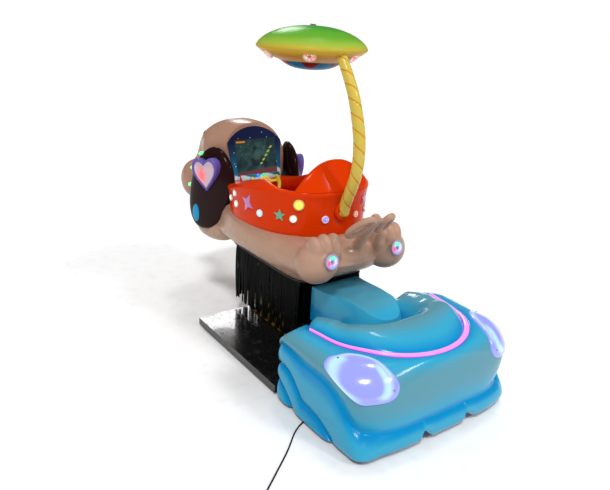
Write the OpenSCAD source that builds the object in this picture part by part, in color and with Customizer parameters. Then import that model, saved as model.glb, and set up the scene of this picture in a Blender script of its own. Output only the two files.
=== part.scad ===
// Kiddie ride machine: a puppy-shaped rocking ride with an orange tub cockpit, a screen in the
// back of the head, a canopy on a bent pole, a chequer-plate deck and a blue moulded tail fairing.
// Millimetres, +X towards the puppy's muzzle, +Y to the rider's left, +Z up, floor at Z = 0.

/* [Overall] */
// Length from the tail fairing's bumper to the nose
overall_l = 2260; // [2240:5:2300]
// Width of the chequer-plate deck
deck_w = 990; // [970:5:1000]
// Height of the deck's walking face
deck_z = 55; // [52:1:60]

/* [Canopy] */
// Outside diameter of the canopy
canopy_d = 600; // [570:5:620]
// Height of the canopy's top above the floor
canopy_z = 1720; // [1700:5:1740]
// Diameter of the canopy pole
pole_d = 47; // [42:1:50]

/* [Cockpit] */
// Length of the tub at its base, before the flat front wall
tub_l = 864; // [850:2:880]
// Width of the tub at its base
tub_w = 680; // [666:2:690]
// Height of the tub's rim above the floor
rim_z = 938; // [925:1:950]
// Outside diameter of the steering wheel
wheel_d = 204; // [190:2:210]
// Travel of the two lit push buttons
button_travel = 4; // [3:0.5:5]

/* [Screen] */
// Width of the screen
screen_w = 280; // [250:5:300]
// Height of the screen
screen_h = 216; // [190:2:220]

/* [Drive] */
// Throw of the two drive cranks
crank_throw = 25; // [18:1:27]
// Diameter of the crank shafts
shaft_d = 30; // [26:1:34]
// Distance between the two crank shafts
crank_gap = 240; // [230:2:250]

/* [Walls and trim] */
// Wall of the moulded shells
shell_t = 6; // [5:0.5:8]
// Diameter of the round light pods
pod_d = 60; // [50:1:66]
// Diameter of the mains lead
cord_d = 7; // [6.5:0.1:7.5]

/* [Hidden] */
$fn = 48;

// Clearances
run_fit = 0.05;
seat_gap = 0.5;

// Ends of the object
tail_x = -overall_l / 2;
nose_x = overall_l / 2;

// Deck and its frame
deck_front_x = 362;
deck_step_x = -470;
deck_rear_x = -900;
deck_rear_half = deck_w / 2 - 95;
plate_t = 4;
fold_z = 15;
tube_w = 40;
tube_h = 30;
tube_top = deck_z - plate_t;
tube_z = tube_top - tube_h;
foot_d = 60;
foot_pad = 8;

// Tail fairing
hood_x = -700;
arm_end_x = -480;
fairing_half = 505;
fairing_len = hood_x - tail_x - 7.7;
skirt_z = 18;
hood_z = 418;
ring_z = 455;
valley_z = 322;
plan_power = 5;
groove_r = 372;
groove_flare = 50;
arm_steps = 6;
bend_steps = 12;
arm_share = arm_steps / (arm_steps + bend_steps);
strip_rise = 9;

// Hump block inside the fairing
block_rear_x = -270;
block_nose_x = -588;
block_half = 152;
block_nose_r = 150;
block_top = 434;

// Headlights, in the hood's own coordinates
lens_along = 0.382;
lens_reach = 0.25;
lens_up = 41;
lens_tall = 40;
lens_crown = 24;
lens_sink = 2;

// Drive
crank_z = 255;
rear_x = 0;
front_x = rear_x + crank_gap;
plate_y = 118;
side_t = 12;
bearing_w = 20;
bearing_r = shaft_d / 2 + 14;
disc_in = 140;
disc_t = 14;
disc_r = crank_throw + 20;
pin_d = 20;
rail_y = 185;
rail_t = 12;
pin_z = crank_z - crank_throw;
pulley_y = 85;
pulley_w = 24;
pulley_r = 55;
belt_t = 5;
motor_z = 150;
motor_r = 55;
box_half = 62;
box_w = 50;
fan_shaft_r = 8;

// Ride body
belly_z = 462;
tub_front_x = 532;
tub_front_share = 0.8912;
tub_x = tub_front_x - tub_front_share * tub_l / 2;
tub_power = 2.28;
tub_front_power = 2;
tub_floor_z = 690;
body_power = 2.6;
body_count = 44;
body_x = tub_x + 18;
body_a = tub_l / 2 + 173;
plate_a = body_a - 207;
plate_b = 230;
plate_power = 6;
belly_t = 6;

// Fringe
fringe_rear_x = -235;
fringe_front_x = 440;
fringe_half = 205;
hem_h = 26;
hem_t = 5;
strip_w = 15;
strip_pitch = 18;
strip_t = 2;
strip_drop = [318, 330, 324];

// Screen bezel
lean = 0.262;
bezel_x = 541;
bezel_z = 813;
bezel_low = 163;
bezel_wide = 188;
bezel_shoulder = 225;
bezel_rise = 92;
bezel_t = 8;
screen_lift = 24;

// Head, ears and face
back_z = 950;
back_x = bezel_x + lean * (back_z - bezel_z) + bezel_t * norm([1, lean]);
back_min_x = 545;
ear_turn = 18;
ear_x = 600;
ear_y = 305;
heart_s = 84;
heart_z = 823;
heart_shift = -28;

// Dashboard and steering
dash_low = [420, 716];
dash_high = [525, 846];
dash_half = 140;
dash_slope = atan2(dash_high[1] - dash_low[1], dash_high[0] - dash_low[0]);
dash_len = norm(dash_high - dash_low);
wheel_along = 0.58 * dash_len;
wheel_lift = 34;
column_r = 14;
button_along = 0.91 * dash_len;
button_y = 20;
button_r = 10;

// Pole and canopy
canopy_r = canopy_d / 2;
rim_line_z = canopy_z - 100;
foot_x = tub_x - 1.0162 * tub_l / 2;
canopy_x = foot_x + 344;
pole_out = pole_d / 2 + 3;
boss_z = 845;

// Free cord and its coil, on the floor beside the fairing
gland_x = -718;
gland_len = 40;
gland_z = 26;
lay_z = cord_d / 2;
cord_stretch = [[0, 0, 26], [0, 15, 25], [-1, 30, 20], [-3, 45, 12], [-7, 60, 6], [-13, 78, lay_z],
    [-24, 100, lay_z], [-40, 124, lay_z], [-60, 150, lay_z], [-84, 176, lay_z], [-110, 204, lay_z],
    [-136, 234, lay_z], [-162, 266, lay_z], [-188, 300, lay_z], [-214, 334, lay_z],
    [-240, 368, lay_z], [-266, 402, lay_z], [-294, 439, lay_z], [-326, 482, lay_z]];
cord_route = [for (p = cord_stretch) p + [gland_x, deck_rear_half + gland_len, 0]];
coil_in = 4 * cord_d;
coil_turns = 3 + 1 / 3;
coil_pitch = cord_d + 1.8;
coil_out = coil_in + coil_turns * coil_pitch;
coil_layer = cord_d + 0.8;
coil_rings = 24;
cord_end = cord_route[len(cord_route) - 1];
cord_way = cord_end - cord_route[len(cord_route) - 2];
cord_turn = atan2(cord_way[1], cord_way[0]);
coil_run = cord_d;
plug_run = 48;
plug_len = 46;
plug_w = 34;

// Shared functions
function bent(v, e) = sign(v) * pow(abs(v), e);
function mix(a, b, t) = a + (b - a) * t;
function ramp(v, lo, hi) = let (t = min(1, max(0, (v - lo) / (hi - lo)))) t * t * (3 - 2 * t);
function oval(a, b, n, count, front) = [for (i = [0:count - 1])
    let (t = 360 * i / count, e = 2 / (front != undef && cos(t) > 0 ? front : n))
    [a * bent(cos(t), e), b * bent(sin(t), e)]];
function flat(list) = [for (ring = list) for (p = ring) p];
function middle(ring) = [for (k = [0:2]) mean([for (p = ring) p[k]])];
function mean(list) = sum(list) / len(list);
function sum(list, i = 0) = i == len(list) ? 0 : list[i] + sum(list, i + 1);
function unit(v) = v / norm(v);

// Closes a stack of equal rings into one solid; a loop joins its last ring to its first
module skin(rings, loop = false) {
    n = len(rings[0]);
    last = len(rings) - 1;
    spans = loop ? last : last - 1;
    sides = [for (k = [0:spans]) for (i = [0:n - 1])
        let (j = (i + 1) % n, a = k * n, b = ((k + 1) % (last + 1)) * n)
        each [[a + i, b + i, b + j], [a + i, b + j, a + j]]];
    low = (last + 1) * n;
    caps = [for (i = [0:n - 1]) let (j = (i + 1) % n)
        each [[low, i, j], [low + 1, last * n + j, last * n + i]]];
    polyhedron(
        points = loop ? flat(rings) : concat(flat(rings), [middle(rings[0]), middle(rings[last])]),
        faces = loop ? sides : concat(sides, caps));
}

// Tube rings along a route, each square to the route
function along(route, i) = unit(route[min(i + 1, len(route) - 1)] - route[max(i - 1, 0)]);
function tube_rings(route, r, sides, up = [0, 0, 1]) = [for (i = [0:len(route) - 1])
    let (w = along(route, i), u = unit(cross(w, up)), v = cross(w, u))
    [for (k = [0:sides - 1]) let (t = 360 * k / sides) route[i] + r * (cos(t) * u + sin(t) * v)]];

module mirrored() {
    children();
    mirror([0, 1, 0]) children();
}

module block(x0, x1, y0, y1, z0, z1) {
    translate([x0, y0, z0]) cube([x1 - x0, y1 - y0, z1 - z0]);
}

module rod_y(x, z, r, y0, y1) {
    translate([x, y0, z]) rotate([-90, 0, 0]) cylinder(r = r, h = y1 - y0);
}

module rod_x(y, z, r, x0, x1) {
    translate([x0, y, z]) rotate([0, 90, 0]) cylinder(r = r, h = x1 - x0);
}

// Base frame and deck

module base_frame() color("dimgray") {
    mirrored() block(deck_rear_x + 10, deck_front_x - 12, 330, 330 + tube_w, tube_z, tube_top);
    for (x = [deck_rear_x + 10, -500, -80, deck_front_x - 12 - tube_w])
        block(x, x + tube_w, -330, 330, tube_z, tube_top);
}

module deck_plan(inset) {
    half = deck_w / 2 - inset;
    polygon([[deck_front_x - inset, -half], [deck_front_x - inset, half], [deck_step_x + inset, half],
        [deck_step_x + inset, deck_rear_half - inset], [deck_rear_x + inset, deck_rear_half - inset],
        [deck_rear_x + inset, inset - deck_rear_half], [deck_step_x + inset, inset - deck_rear_half],
        [deck_step_x + inset, -half]]);
}

module deck_plate() color("black") {
    difference() {
        translate([0, 0, fold_z]) linear_extrude(deck_z - fold_z) deck_plan(0);
        translate([0, 0, fold_z - 1]) linear_extrude(deck_z - fold_z - plate_t + 1) deck_plan(plate_t);
    }
}

module levelling_feet() color("gray")
    for (x = [deck_rear_x + 30, -480, deck_front_x - 32])
        mirrored() translate([x, 330 + tube_w / 2, 0]) {
            cylinder(d = foot_d, h = foot_pad);
            translate([0, 0, foot_pad]) cylinder(d = 14, h = tube_z - foot_pad);
        }

// Tail fairing: one profile carried round a U, from one arm's end to the other

function block_half_at(x) = mix(block_nose_r, block_half,
    (x - block_nose_x) / (block_rear_x - block_nose_x));
function arm_part(t) = max(0, (abs(t) - (1 - arm_share)) / arm_share);
function bend_turn(t) = 90 * min(1, abs(t) / (1 - arm_share));
function outer_at(t) = let (m = arm_part(t), a = bend_turn(t)) [
    m > 0 ? mix(hood_x, arm_end_x, m) : hood_x - fairing_len * bent(cos(a), 2 / plan_power),
    sign(t) * (m > 0 ? fairing_half : fairing_half * bent(sin(a), 2 / plan_power))];
function inner_at(t) = let (m = arm_part(t), a = bend_turn(t), r = block_nose_r + seat_gap)
    m > 0 ? let (x = mix(block_nose_x, arm_end_x, m)) [x, sign(t) * (block_half_at(x) + seat_gap)]
          : [block_nose_x - r * cos(a), sign(t) * r * sin(a)];
function rearness(t) = ramp(abs(t), 0.36, 0.66);
function sideness(t) = pow(sin(bend_turn(t)), 2);
function cornerness(t) = ramp(abs(t), 0.15, 0.33) * (1 - ramp(abs(t), 0.36, 0.55));
function crease_z(t) = 125 + 175 * ramp(abs(t), 0.33, 0.66) + 25 * arm_part(t);
// The groove is a half circle in plan that runs on along the arms
function groove_s(t) = let (o = outer_at(t), i = inner_at(t), d = o - i, p = i - [hood_x, 0],
    k = (sqrt(pow(p * d, 2) - d * d * (p * p - pow(groove_r, 2))) - p * d) / (d * d),
    y = groove_r + groove_flare * ramp(arm_part(t), 0, 0.5))
    i[0] + d[0] * k < hood_x ? k : (y - abs(i[1])) / (abs(o[1]) - abs(i[1]));
function widest_z(t) = mix(crease_z(t), hood_z, 0.45);
function skirt_pt(t, w) = let (f = rearness(t)) [
    mix(1.02 + 0.08 * cornerness(t) * (1 - w) - 0.06 * pow(w, 2.5),
        0.94 + 0.06 * pow(abs(sin(360 * w)), 0.7), f),
    mix(skirt_z, crease_z(t), w)];
function hood_pt(t, up) = let (e = groove_s(t) + 0.05, z = widest_z(t)) [
    e + (1 - e) * pow(cos(up), 2 / 2.4), z + (hood_z - z) * pow(sin(up), 2 / 2.4)];
function groove_pts(t) = let (s = groove_s(t)) [[s + 0.03, hood_z + 2], [s + 0.022, hood_z - 8],
    [s - 0.022, hood_z - 6], [s - 0.03, hood_z + 6]];
function ring_pts(t) = let (top = ring_z - 20 * arm_part(t), from = groove_s(t) - 0.03,
    crest = mix(0.31, 0.4, sideness(t)), foot = 0.09) [
    [mix(from, crest, 0.45), mix(hood_z + 6, top, 0.72)], [crest, top],
    [mix(crest, foot, 0.55), top - 26], [foot, valley_z + 42], [foot * 0.5, valley_z + 10],
    [0, valley_z]];
function profile(t) = concat(
    [for (k = [0:5]) skirt_pt(t, k / 6)],
    [[mix(0.96, 0.935, rearness(t)), crease_z(t)], [0.982, mix(crease_z(t), widest_z(t), 0.45)]],
    [for (up = [0, 30, 52, 72, 90]) hood_pt(t, up)],
    groove_pts(t), ring_pts(t));
function placed(t, p) = let (o = outer_at(t), i = inner_at(t), xy = i + (o - i) * p[0])
    [xy[0], xy[1], p[1]];
function span_at(t) = norm(outer_at(t) - inner_at(t));
// A profile moved inwards by the wall, square to itself
function inset(t, pts) = let (l = span_at(t), n = len(pts) - 1) [for (k = [0:n])
    let (a = pts[max(k - 1, 0)], b = pts[min(k + 1, n)],
        d = unit([(b[0] - a[0]) * l, b[1] - a[1]]),
        p = [pts[k][0] - d[1] * shell_t / l, pts[k][1] + d[0] * shell_t])
    [k == n ? 0 : p[0], k == 0 ? pts[0][1] : p[1]]];
stations = [for (k = [0:2 * (arm_steps + bend_steps)]) 1 - k / (arm_steps + bend_steps)];

module fairing_shell() color("deepskyblue") {
    outer = [for (t = stations) [for (p = profile(t)) placed(t, p)]];
    inner = [for (t = stations) [for (p = inset(t, profile(t))) placed(t, p)]];
    m = len(outer[0]);
    n = len(stations);
    loops = [for (k = [0:n - 1]) concat(outer[k], [for (i = [m - 1:-1:0]) inner[k][i]])];
    w = 2 * m;
    sides = [for (k = [0:n - 2]) for (i = [0:w - 1]) let (j = (i + 1) % w, a = k * w, b = a + w)
        each [[a + i, b + j, b + i], [a + i, a + j, b + j]]];
    e = (n - 1) * w;
    caps = [for (i = [0:m - 2]) let (p = w - 1 - i, q = w - 2 - i) each [
        [i, q, i + 1], [i, p, q], [e + i, e + i + 1, e + q], [e + i, e + q, e + p]]];
    polyhedron(points = flat(loops), faces = concat(sides, caps));
}

// Flat plates that close the two arms towards the puppy, standing on the deck
end_y = block_half_at(arm_end_x + shell_t) + seat_gap;
module fairing_ends() color("deepskyblue") mirrored()
    translate([arm_end_x, 0, 0]) rotate([90, 0, 90]) linear_extrude(shell_t) polygon(concat(
        [for (p = profile(1)) let (q = placed(1, p)) if (q[2] > deck_z) [max(q[1], end_y), q[2]]],
        [[end_y, valley_z], [end_y, deck_z], [placed(1, [0.94, 0])[1], deck_z]]));

module block_plan(inset) {
    polygon([[block_rear_x - inset, inset - block_half], [block_rear_x - inset, block_half - inset],
        [block_nose_x, block_nose_r - inset], [block_nose_x, inset - block_nose_r]]);
    translate([block_nose_x, 0]) circle(r = block_nose_r - inset);
}

module hump_block() color("deepskyblue") difference() {
    translate([0, 0, deck_z]) linear_extrude(block_top - deck_z) block_plan(0);
    translate([0, 0, deck_z - 1]) linear_extrude(block_top - deck_z - shell_t + 1) block_plan(shell_t);
}

function lens_pt(side, reach, turn, lift) = let (t = lens_along + lens_reach * reach * cos(turn),
    up = lens_up + lens_tall * reach * sin(turn), p = placed(t, hood_pt(t, up)),
    o = unit(outer_at(t) - inner_at(t)), q = p + lift * [o[0] * cos(up), o[1] * cos(up), sin(up)])
    [q[0], side * q[1], q[2]];

module headlight_lens(side) color("lavender") {
    layers = [[0.05, -lens_sink], [0.5, -lens_sink], [1, -lens_sink], [1, lens_crown * 0.3],
        [0.8, lens_crown * 0.7], [0.45, lens_crown * 0.95], [0.05, lens_crown]];
    count = 28;
    skin([for (l = layers) [for (k = [0:count - 1]) lens_pt(side, l[0], -side * 360 * k / count, l[1])]]);
}

module headlight_lens_left() headlight_lens(1);

module headlight_lens_right() headlight_lens(-1);

// The strip's foot is the groove's own floor, so that it sits in it
module light_strip() color("magenta") skin([for (t = stations) let (g = groove_pts(t)) [
    for (p = [g[1], g[2], g[3], [groove_s(t), hood_z + strip_rise], g[0]]) placed(t, p)]]);

// Drive: two cranks in step carry the ride round a small circle

module drive_frame() color("gold") {
    difference() {
        union() {
            mirrored() block(-90, front_x + 70, plate_y - side_t / 2, plate_y + side_t / 2, deck_z, 320);
            mirrored() block(-90, front_x + 70, plate_y + side_t / 2, plate_y + 50, deck_z, deck_z + 8);
            for (x = [-90, front_x + 50])
                block(x, x + 20, side_t / 2 - plate_y, plate_y - side_t / 2, deck_z, deck_z + 60);
        }
        for (x = [rear_x, front_x]) rod_y(x, crank_z, bearing_r, -plate_y - 20, plate_y + 20);
    }
}

module crank_bearings() color("silver")
    for (x = [rear_x, front_x]) mirrored() difference() {
        y0 = plate_y - side_t / 2;
        union() {
            rod_y(x, crank_z, bearing_r, y0, y0 + bearing_w);
            rod_y(x, crank_z, bearing_r + 8, plate_y + side_t / 2, y0 + bearing_w - 2);
        }
        rod_y(x, crank_z, shaft_d / 2 + run_fit, y0 - 1, y0 + bearing_w + 1);
    }

module gearbox() color("slategray") difference() {
    union() {
        block(rear_x - box_half, rear_x + box_half, -box_w, box_w, deck_z, deck_z + 12);
        block(rear_x - box_half + 8, rear_x + box_half, -box_w + 8, box_w - 8, deck_z + 12, 205);
        rod_y(rear_x, crank_z, box_half, -box_w, box_w);
    }
    rod_y(rear_x, crank_z, shaft_d / 2 + run_fit, -box_w - 1, box_w + 1);
}

module motor() color("steelblue") {
    x0 = rear_x + box_half;
    difference() {
        union() {
            rod_x(0, motor_z, motor_r, x0, x0 + 160);
            block(x0 + 30, x0 + 120, -40, 40, deck_z, motor_z - 30);
        }
        rod_x(0, motor_z, fan_shaft_r + run_fit, x0 + 130, x0 + 161);
    }
    difference() {
        rod_x(0, motor_z, motor_r, x0 + 160, x0 + 220);
        rod_x(0, motor_z, motor_r - 3, x0 + 159, x0 + 217);
        for (k = [0:7]) translate([0, 0, motor_z]) rotate([45 * k, 0, 0]) translate([x0 + 210, 0, 0])
            rod_x(0, 32, 9, 0, 12);
    }
}

module motor_fan() color("darkslategray") {
    x0 = rear_x + box_half + 160;
    rod_x(0, motor_z, fan_shaft_r, x0 - 28, x0 + 40);
    rod_x(0, motor_z, 16, x0 + 14, x0 + 40);
    for (k = [0:5]) translate([0, 0, motor_z]) rotate([60 * k, 0, 0]) block(x0 + 16, x0 + 38, -2, 2, 12, 44);
}

module belt_plan(r) {
    for (x = [rear_x, front_x]) translate([x, 0]) circle(r = r);
    translate([rear_x, -r]) square([crank_gap, 2 * r]);
}

module drive_belt() color("black") translate([0, pulley_y + pulley_w / 2 - 2, crank_z])
    rotate([90, 0, 0]) linear_extrude(pulley_w - 4) difference() {
        belt_plan(pulley_r + run_fit + belt_t);
        belt_plan(pulley_r + run_fit);
    }

module crankshaft(x) color("silver") {
    reach = disc_in + disc_t;
    rod_y(x, crank_z, shaft_d / 2, -disc_in, disc_in);
    mirrored() {
        rod_y(x, crank_z, disc_r, disc_in, reach);
        rod_y(x, pin_z, pin_d / 2, reach, rail_y + rail_t / 2 + 6);
    }
}

module crankshaft_rear() crankshaft(rear_x);

module crankshaft_front() crankshaft(front_x);

module pulley(x) color("dimgray") difference() {
    rod_y(x, crank_z, pulley_r, pulley_y - pulley_w / 2, pulley_y + pulley_w / 2);
    rod_y(x, crank_z, shaft_d / 2, pulley_y - pulley_w, pulley_y + pulley_w);
}

module pulley_rear() pulley(rear_x);

module pulley_front() pulley(front_x);

module control_box() color("lightgray") {
    block(-690, -540, 220, 340, deck_z, 210);
    block(-694, -536, 216, 344, 210, 216);
}

module power_supply() color("silver") block(-690, -530, -330, -230, deck_z, 115);

// Ride frame: rails on the crank pins, posts and a belly plate under the moulding

module ride_frame() color("dimgray") {
    difference() {
        union() {
            mirrored() {
                block(-60, front_x + 60, rail_y - rail_t / 2, rail_y + rail_t / 2, pin_z - 25, pin_z + 25);
                for (x = [-60, front_x])
                    block(x, x + 60, rail_y - rail_t / 2, rail_y + rail_t / 2, pin_z + 25, belly_z - belly_t);
            }
            translate([body_x - 40, 0, belly_z - belly_t]) linear_extrude(belly_t)
                polygon(oval(plate_a, plate_b, plate_power, body_count));
        }
        for (x = [rear_x, front_x])
            rod_y(x, pin_z, pin_d / 2 + run_fit, -rail_y - rail_t, rail_y + rail_t);
    }
}

// Puppy body: a closed moulded ring between the belly plate and the tub

tub_a = tub_l / 2;
tub_b = tub_w / 2;
// Level: centre X, half length, half width, height, plan power
body_out = [[body_x - 40, plate_a - 8, plate_b - 8, belly_z, plate_power],
    [body_x - 40, body_a - 165, 260, 490, 4.5], [body_x - 35, body_a - 100, 302, 522, 3.6],
    [body_x - 25, body_a - 45, 338, 556, 3], [body_x - 15, body_a - 7, 364, 600, body_power],
    [body_x - 10, body_a - 20, 364, 650, body_power], [body_x - 10, body_a - 85, 354, 688, body_power],
    [tub_x, tub_a + seat_gap, tub_b + seat_gap, 704, tub_power]];
body_in = [for (k = [len(body_out) - 1:-1:0]) let (l = body_out[k], lip = k == 0 || k == len(body_out) - 1)
    [l[0], l[1] - (lip ? 0 : shell_t), l[2] - (lip ? 0 : shell_t),
        l[3] + (k < 3 ? shell_t : k < 5 ? 0 : -shell_t), l[4]]];
function level_ring(l) = let (front = l[4] == tub_power ? tub_front_power : l[4])
    [for (p = oval(l[1], l[2], l[4], body_count, front)) [l[0] + p[0], p[1], l[3]]];

module body_shell() color("tan") skin([for (l = concat(body_out, body_in)) level_ring(l)], loop = true);

// Head: back plane leaning with the screen, skull and muzzle as one shell
function head_x(share) = mix(back_x, nose_x - 18, share);
// Station: X, lowest, highest, half width, share of the lean
head_out = [[back_x, 708, 1128, 205, 1], [head_x(0.103), 699, 1140, 245, 0.8],
    [head_x(0.236), 699, 1145, 272, 0.4], [head_x(0.388), 604, 1144, 282, 0],
    [head_x(0.54), 575, 1128, 285, 0], [head_x(0.673), 565, 1082, 285, 0],
    [head_x(0.787), 570, 990, 275, 0], [head_x(0.882), 590, 895, 250, 0],
    [head_x(0.958), 625, 820, 200, 0], [head_x(1), 668, 765, 120, 0]];
head_in = [for (k = [len(head_out) - 1:-1:0]) let (h = head_out[k], t = k == 0 ? 8 : shell_t)
    [h[0] - (k == 0 ? 0 : k > 7 ? shell_t : 2), h[1] + t, h[2] - t, h[3] - t, h[4]]];
head_count = 36;
function head_ring(h) = [for (p = oval(h[3], (h[2] - h[1]) / 2, 2.15, head_count))
    let (z = (h[1] + h[2]) / 2 + p[1])
    [max(back_min_x + (h[0] - back_x), h[0] + h[4] * lean * (z - back_z)), p[0], z]];

module head_shell() color("tan") {
    front = len(head_out) - 1;
    rings = [for (h = concat(head_out, head_in)) head_ring(h)];
    n = head_count;
    all = len(rings);
    sides = [for (k = [0:all - 1]) for (i = [0:n - 1]) if (k != front)
        let (j = (i + 1) % n, a = k * n, b = ((k + 1) % all) * n)
        each [[a + i, b + i, b + j], [a + i, b + j, a + j]]];
    tip = all * n;
    caps = [for (i = [0:n - 1]) let (j = (i + 1) % n, a = front * n, b = (front + 1) * n)
        each [[tip, a + j, a + i], [tip + 1, b + i, b + j]]];
    polyhedron(points = concat(flat(rings), [middle(rings[front]), middle(rings[front + 1])]),
        faces = concat(sides, caps));
}

module nose() color("black") translate([nose_x - 38, 0, 752]) sphere(r = 38);

module eyes() color("black") mirrored() translate([head_x(0.696), 130, 1010]) sphere(r = 40);

// Ear: height, half length, half thickness, drawn in towards the head
ear_levels = [[552, 30, 14, -16], [576, 80, 32, -16], [634, 122, 46, -16], [715, 142, 52, -12],
    [800, 148, 52, -4], [880, 139, 48, 8], [955, 108, 42, 18], [1002, 66, 27, 26], [1022, 22, 10, 30]];

module ear_left() color("saddlebrown") skin([for (l = ear_levels) [for (p = oval(l[1], l[2], 2.2, 28))
    let (y = p[1] - l[3])
    [ear_x + p[0] * cos(ear_turn) - y * sin(ear_turn),
        ear_y + p[0] * sin(ear_turn) + y * cos(ear_turn), l[0]]]]);

module ear_right() mirror([0, 1, 0]) ear_left();

// Places a child on the left ear's outer face, its own Z pointing out
module on_ear(shift, z, out) translate([ear_x, ear_y, z]) rotate([0, 0, ear_turn])
    translate([shift, out, 0]) rotate([90, 0, 180]) children();

module heart_plan(s) {
    translate([0, -s * 0.45]) rotate(45) square(s);
    for (k = [-1, 1]) translate([k * s * 0.354, s * 0.612]) circle(d = s);
}

module heart_bezels() color("rebeccapurple") mirrored()
    on_ear(heart_shift, heart_z, 30) linear_extrude(46) heart_plan(heart_s * 1.35);

module heart_lenses() color("mistyrose") mirrored()
    on_ear(heart_shift, heart_z, 76) linear_extrude(10) heart_plan(heart_s);

module ear_discs() color("deepskyblue") mirrored()
    on_ear(66, 614, 34) linear_extrude(26) circle(d = 62);

module ear_leds() color("lime") mirrored()
    for (p = [[124, 737, 30], [98, 855, 26], [38, 975, 10]])
        on_ear(p[0], p[1], p[2] - 14) cylinder(d = 22, h = 32);

// Tub cockpit: height and plan share, from the underside over the rim to the floor
tub_levels = [[0.6, 0], [0.97, 0], [1, 12], [1, 70], [1.018, 208], [1.035, 232], [1.03, 248],
    [0.955, 248], [0.945, 232], [0.93, 208], [0.9, 70], [0.85, 30], [0.5, 25]];
rim_h = rim_z - tub_floor_z;
function tub_ring(l) = [for (p = oval(tub_a * l[0], tub_b * l[0], tub_power, body_count, tub_front_power))
    let (x = min(tub_x + p[0], tub_front_x - (1.035 - l[0]) * 120),
        drop = 1 - 0.5 * ramp(x, -60, 560) * ramp(l[1], 20, 90))
    [x, p[1], tub_floor_z + l[1] * rim_h / 248 * drop]];

module tub_shell() color("orangered") skin([for (l = tub_levels) tub_ring(l)]);

// Arched backrest standing on the rim's rear
back_count = 18;
back_half = 41;
function back_pt(k, share, up) = let (t = 180 - back_half + 2 * back_half * k / back_count,
    rise = 146 * pow(cos(90 * (t - 180) / back_half), 0.96))
    [tub_x + share * tub_a * bent(cos(t), 2 / tub_power) + up * 0.6 * rise,
        share * tub_b * bent(sin(t), 2 / tub_power), rim_z + up * max(rise, 3)];

module backrest() color("orangered") skin([for (k = [0:back_count]) [back_pt(k, 1.028, 0),
    back_pt(k, 0.957, 0), back_pt(k, 0.965, 0.6), back_pt(k, 0.975, 0.96), back_pt(k, 0.995, 1),
    back_pt(k, 1.015, 0.96), back_pt(k, 1.026, 0.6)]]);

// Seat bench: plan share, height, crowned at the top
seat_levels = [[1, 717], [1, 790], [0.96, 806], [0.8, 814], [0.4, 812]];

module seat_bench() color("orangered") skin([for (l = seat_levels)
    [for (p = oval(150 * l[0], 210 * l[0], 3, 32)) [tub_x - 157 + p[0], p[1], l[1]]]]);

module on_dash(along, y, out) translate([dash_low[0], y, dash_low[1]]) rotate([0, -dash_slope, 0])
    translate([along, 0, out]) children();

module dashboard() color("gold") difference() {
    rotate([90, 0, 0]) translate([0, 0, -dash_half]) linear_extrude(2 * dash_half)
        polygon([dash_low, dash_high, [dash_high[0], dash_low[1]]]);
    on_dash(wheel_along, 0, -25) cylinder(r = column_r + run_fit, h = 40);
    for (k = [-1, 1]) on_dash(button_along, k * button_y, -16) cylinder(r = button_r + run_fit, h = 30);
}

module steering_wheel() color("yellow") on_dash(wheel_along, 0, 0) {
    rim_r = 11;
    // Half the angle left open at the yoke's top
    rim_gap = 41;
    difference() {
        union() {
            translate([0, 0, -24]) cylinder(r = column_r, h = 24 + wheel_lift);
            translate([0, 0, wheel_lift - 14]) cylinder(r = 36, h = 20);
        }
        translate([0, 0, wheel_lift - 8]) cylinder(r = 20 + run_fit, h = 20);
    }
    translate([0, 0, wheel_lift]) rotate([0, 0, rim_gap]) rotate_extrude(angle = 360 - 2 * rim_gap)
        translate([wheel_d / 2 - rim_r, 0]) circle(r = rim_r);
    for (a = [-rim_gap, rim_gap]) rotate([0, 0, a]) translate([wheel_d / 2 - rim_r, 0, wheel_lift])
        sphere(r = rim_r);
    for (a = [90, 180, 270]) rotate([0, 0, a])
        block(34, wheel_d / 2 - rim_r, -9, 9, wheel_lift - 5, wheel_lift + 5);
}

module horn_cap() color("deepskyblue") on_dash(wheel_along, 0, wheel_lift - 4)
    cylinder(r = 20, h = 16);

module button(y, tint) color(tint) on_dash(button_along, y, -16 + button_travel + 1)
    cylinder(r = button_r, h = 24);

module button_blue() button(button_y, "blue");

module button_green() button(-button_y, "lime");

// Screen: an arched plate on the head's open back, leaning away from the rider

module bezel_plan() {
    arch_r = (pow(bezel_wide, 2) + pow(bezel_rise, 2)) / (2 * bezel_rise);
    polygon([[-bezel_low, 0], [bezel_low, 0], [bezel_wide, bezel_shoulder], [-bezel_wide, bezel_shoulder]]);
    intersection() {
        translate([0, bezel_shoulder + bezel_rise - arch_r]) circle(r = arch_r);
        translate([-bezel_wide, bezel_shoulder - 1]) square([2 * bezel_wide, bezel_rise + 2]);
    }
}

module leaned() translate([bezel_x, 0, bezel_z]) rotate([0, atan(lean), 0]) rotate([90, 0, -90]) children();

module screen_bezel() color("navy") leaned() translate([0, 0, -bezel_t]) linear_extrude(bezel_t) bezel_plan();

module lcd_panel() color("darkgreen") leaned() translate([-screen_w / 2, screen_lift, 0])
    cube([screen_w, screen_h, 4]);

// Pole and canopy

pole_route = [[foot_x - pole_out, 0, boss_z - 8], [foot_x - pole_out - 3, 0, 876], [foot_x - 42, 0, 920],
    [foot_x - 64, 0, 970], [foot_x - 89, 0, 1020], [foot_x - 106, 0, 1080], [foot_x - 111, 0, 1145],
    [foot_x - 103, 0, 1210], [foot_x - 86, 0, 1270], [foot_x - 64, 0, 1325], [foot_x - 38, 0, 1385],
    [foot_x - 8, 0, 1440], [foot_x + 26, 0, 1492], [foot_x + 60, 0, 1540], [foot_x + 98, 0, 1594]];

module pole() color("khaki") skin(tube_rings(pole_route, pole_d / 2, 16, [0, 1, 0]));

module pole_boss() color("orangered") {
    rod_x(0, boss_z, 60, foot_x - 22, foot_x);
    translate([foot_x - pole_out, 0, boss_z]) sphere(r = pole_d / 2 + 8);
}

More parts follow.
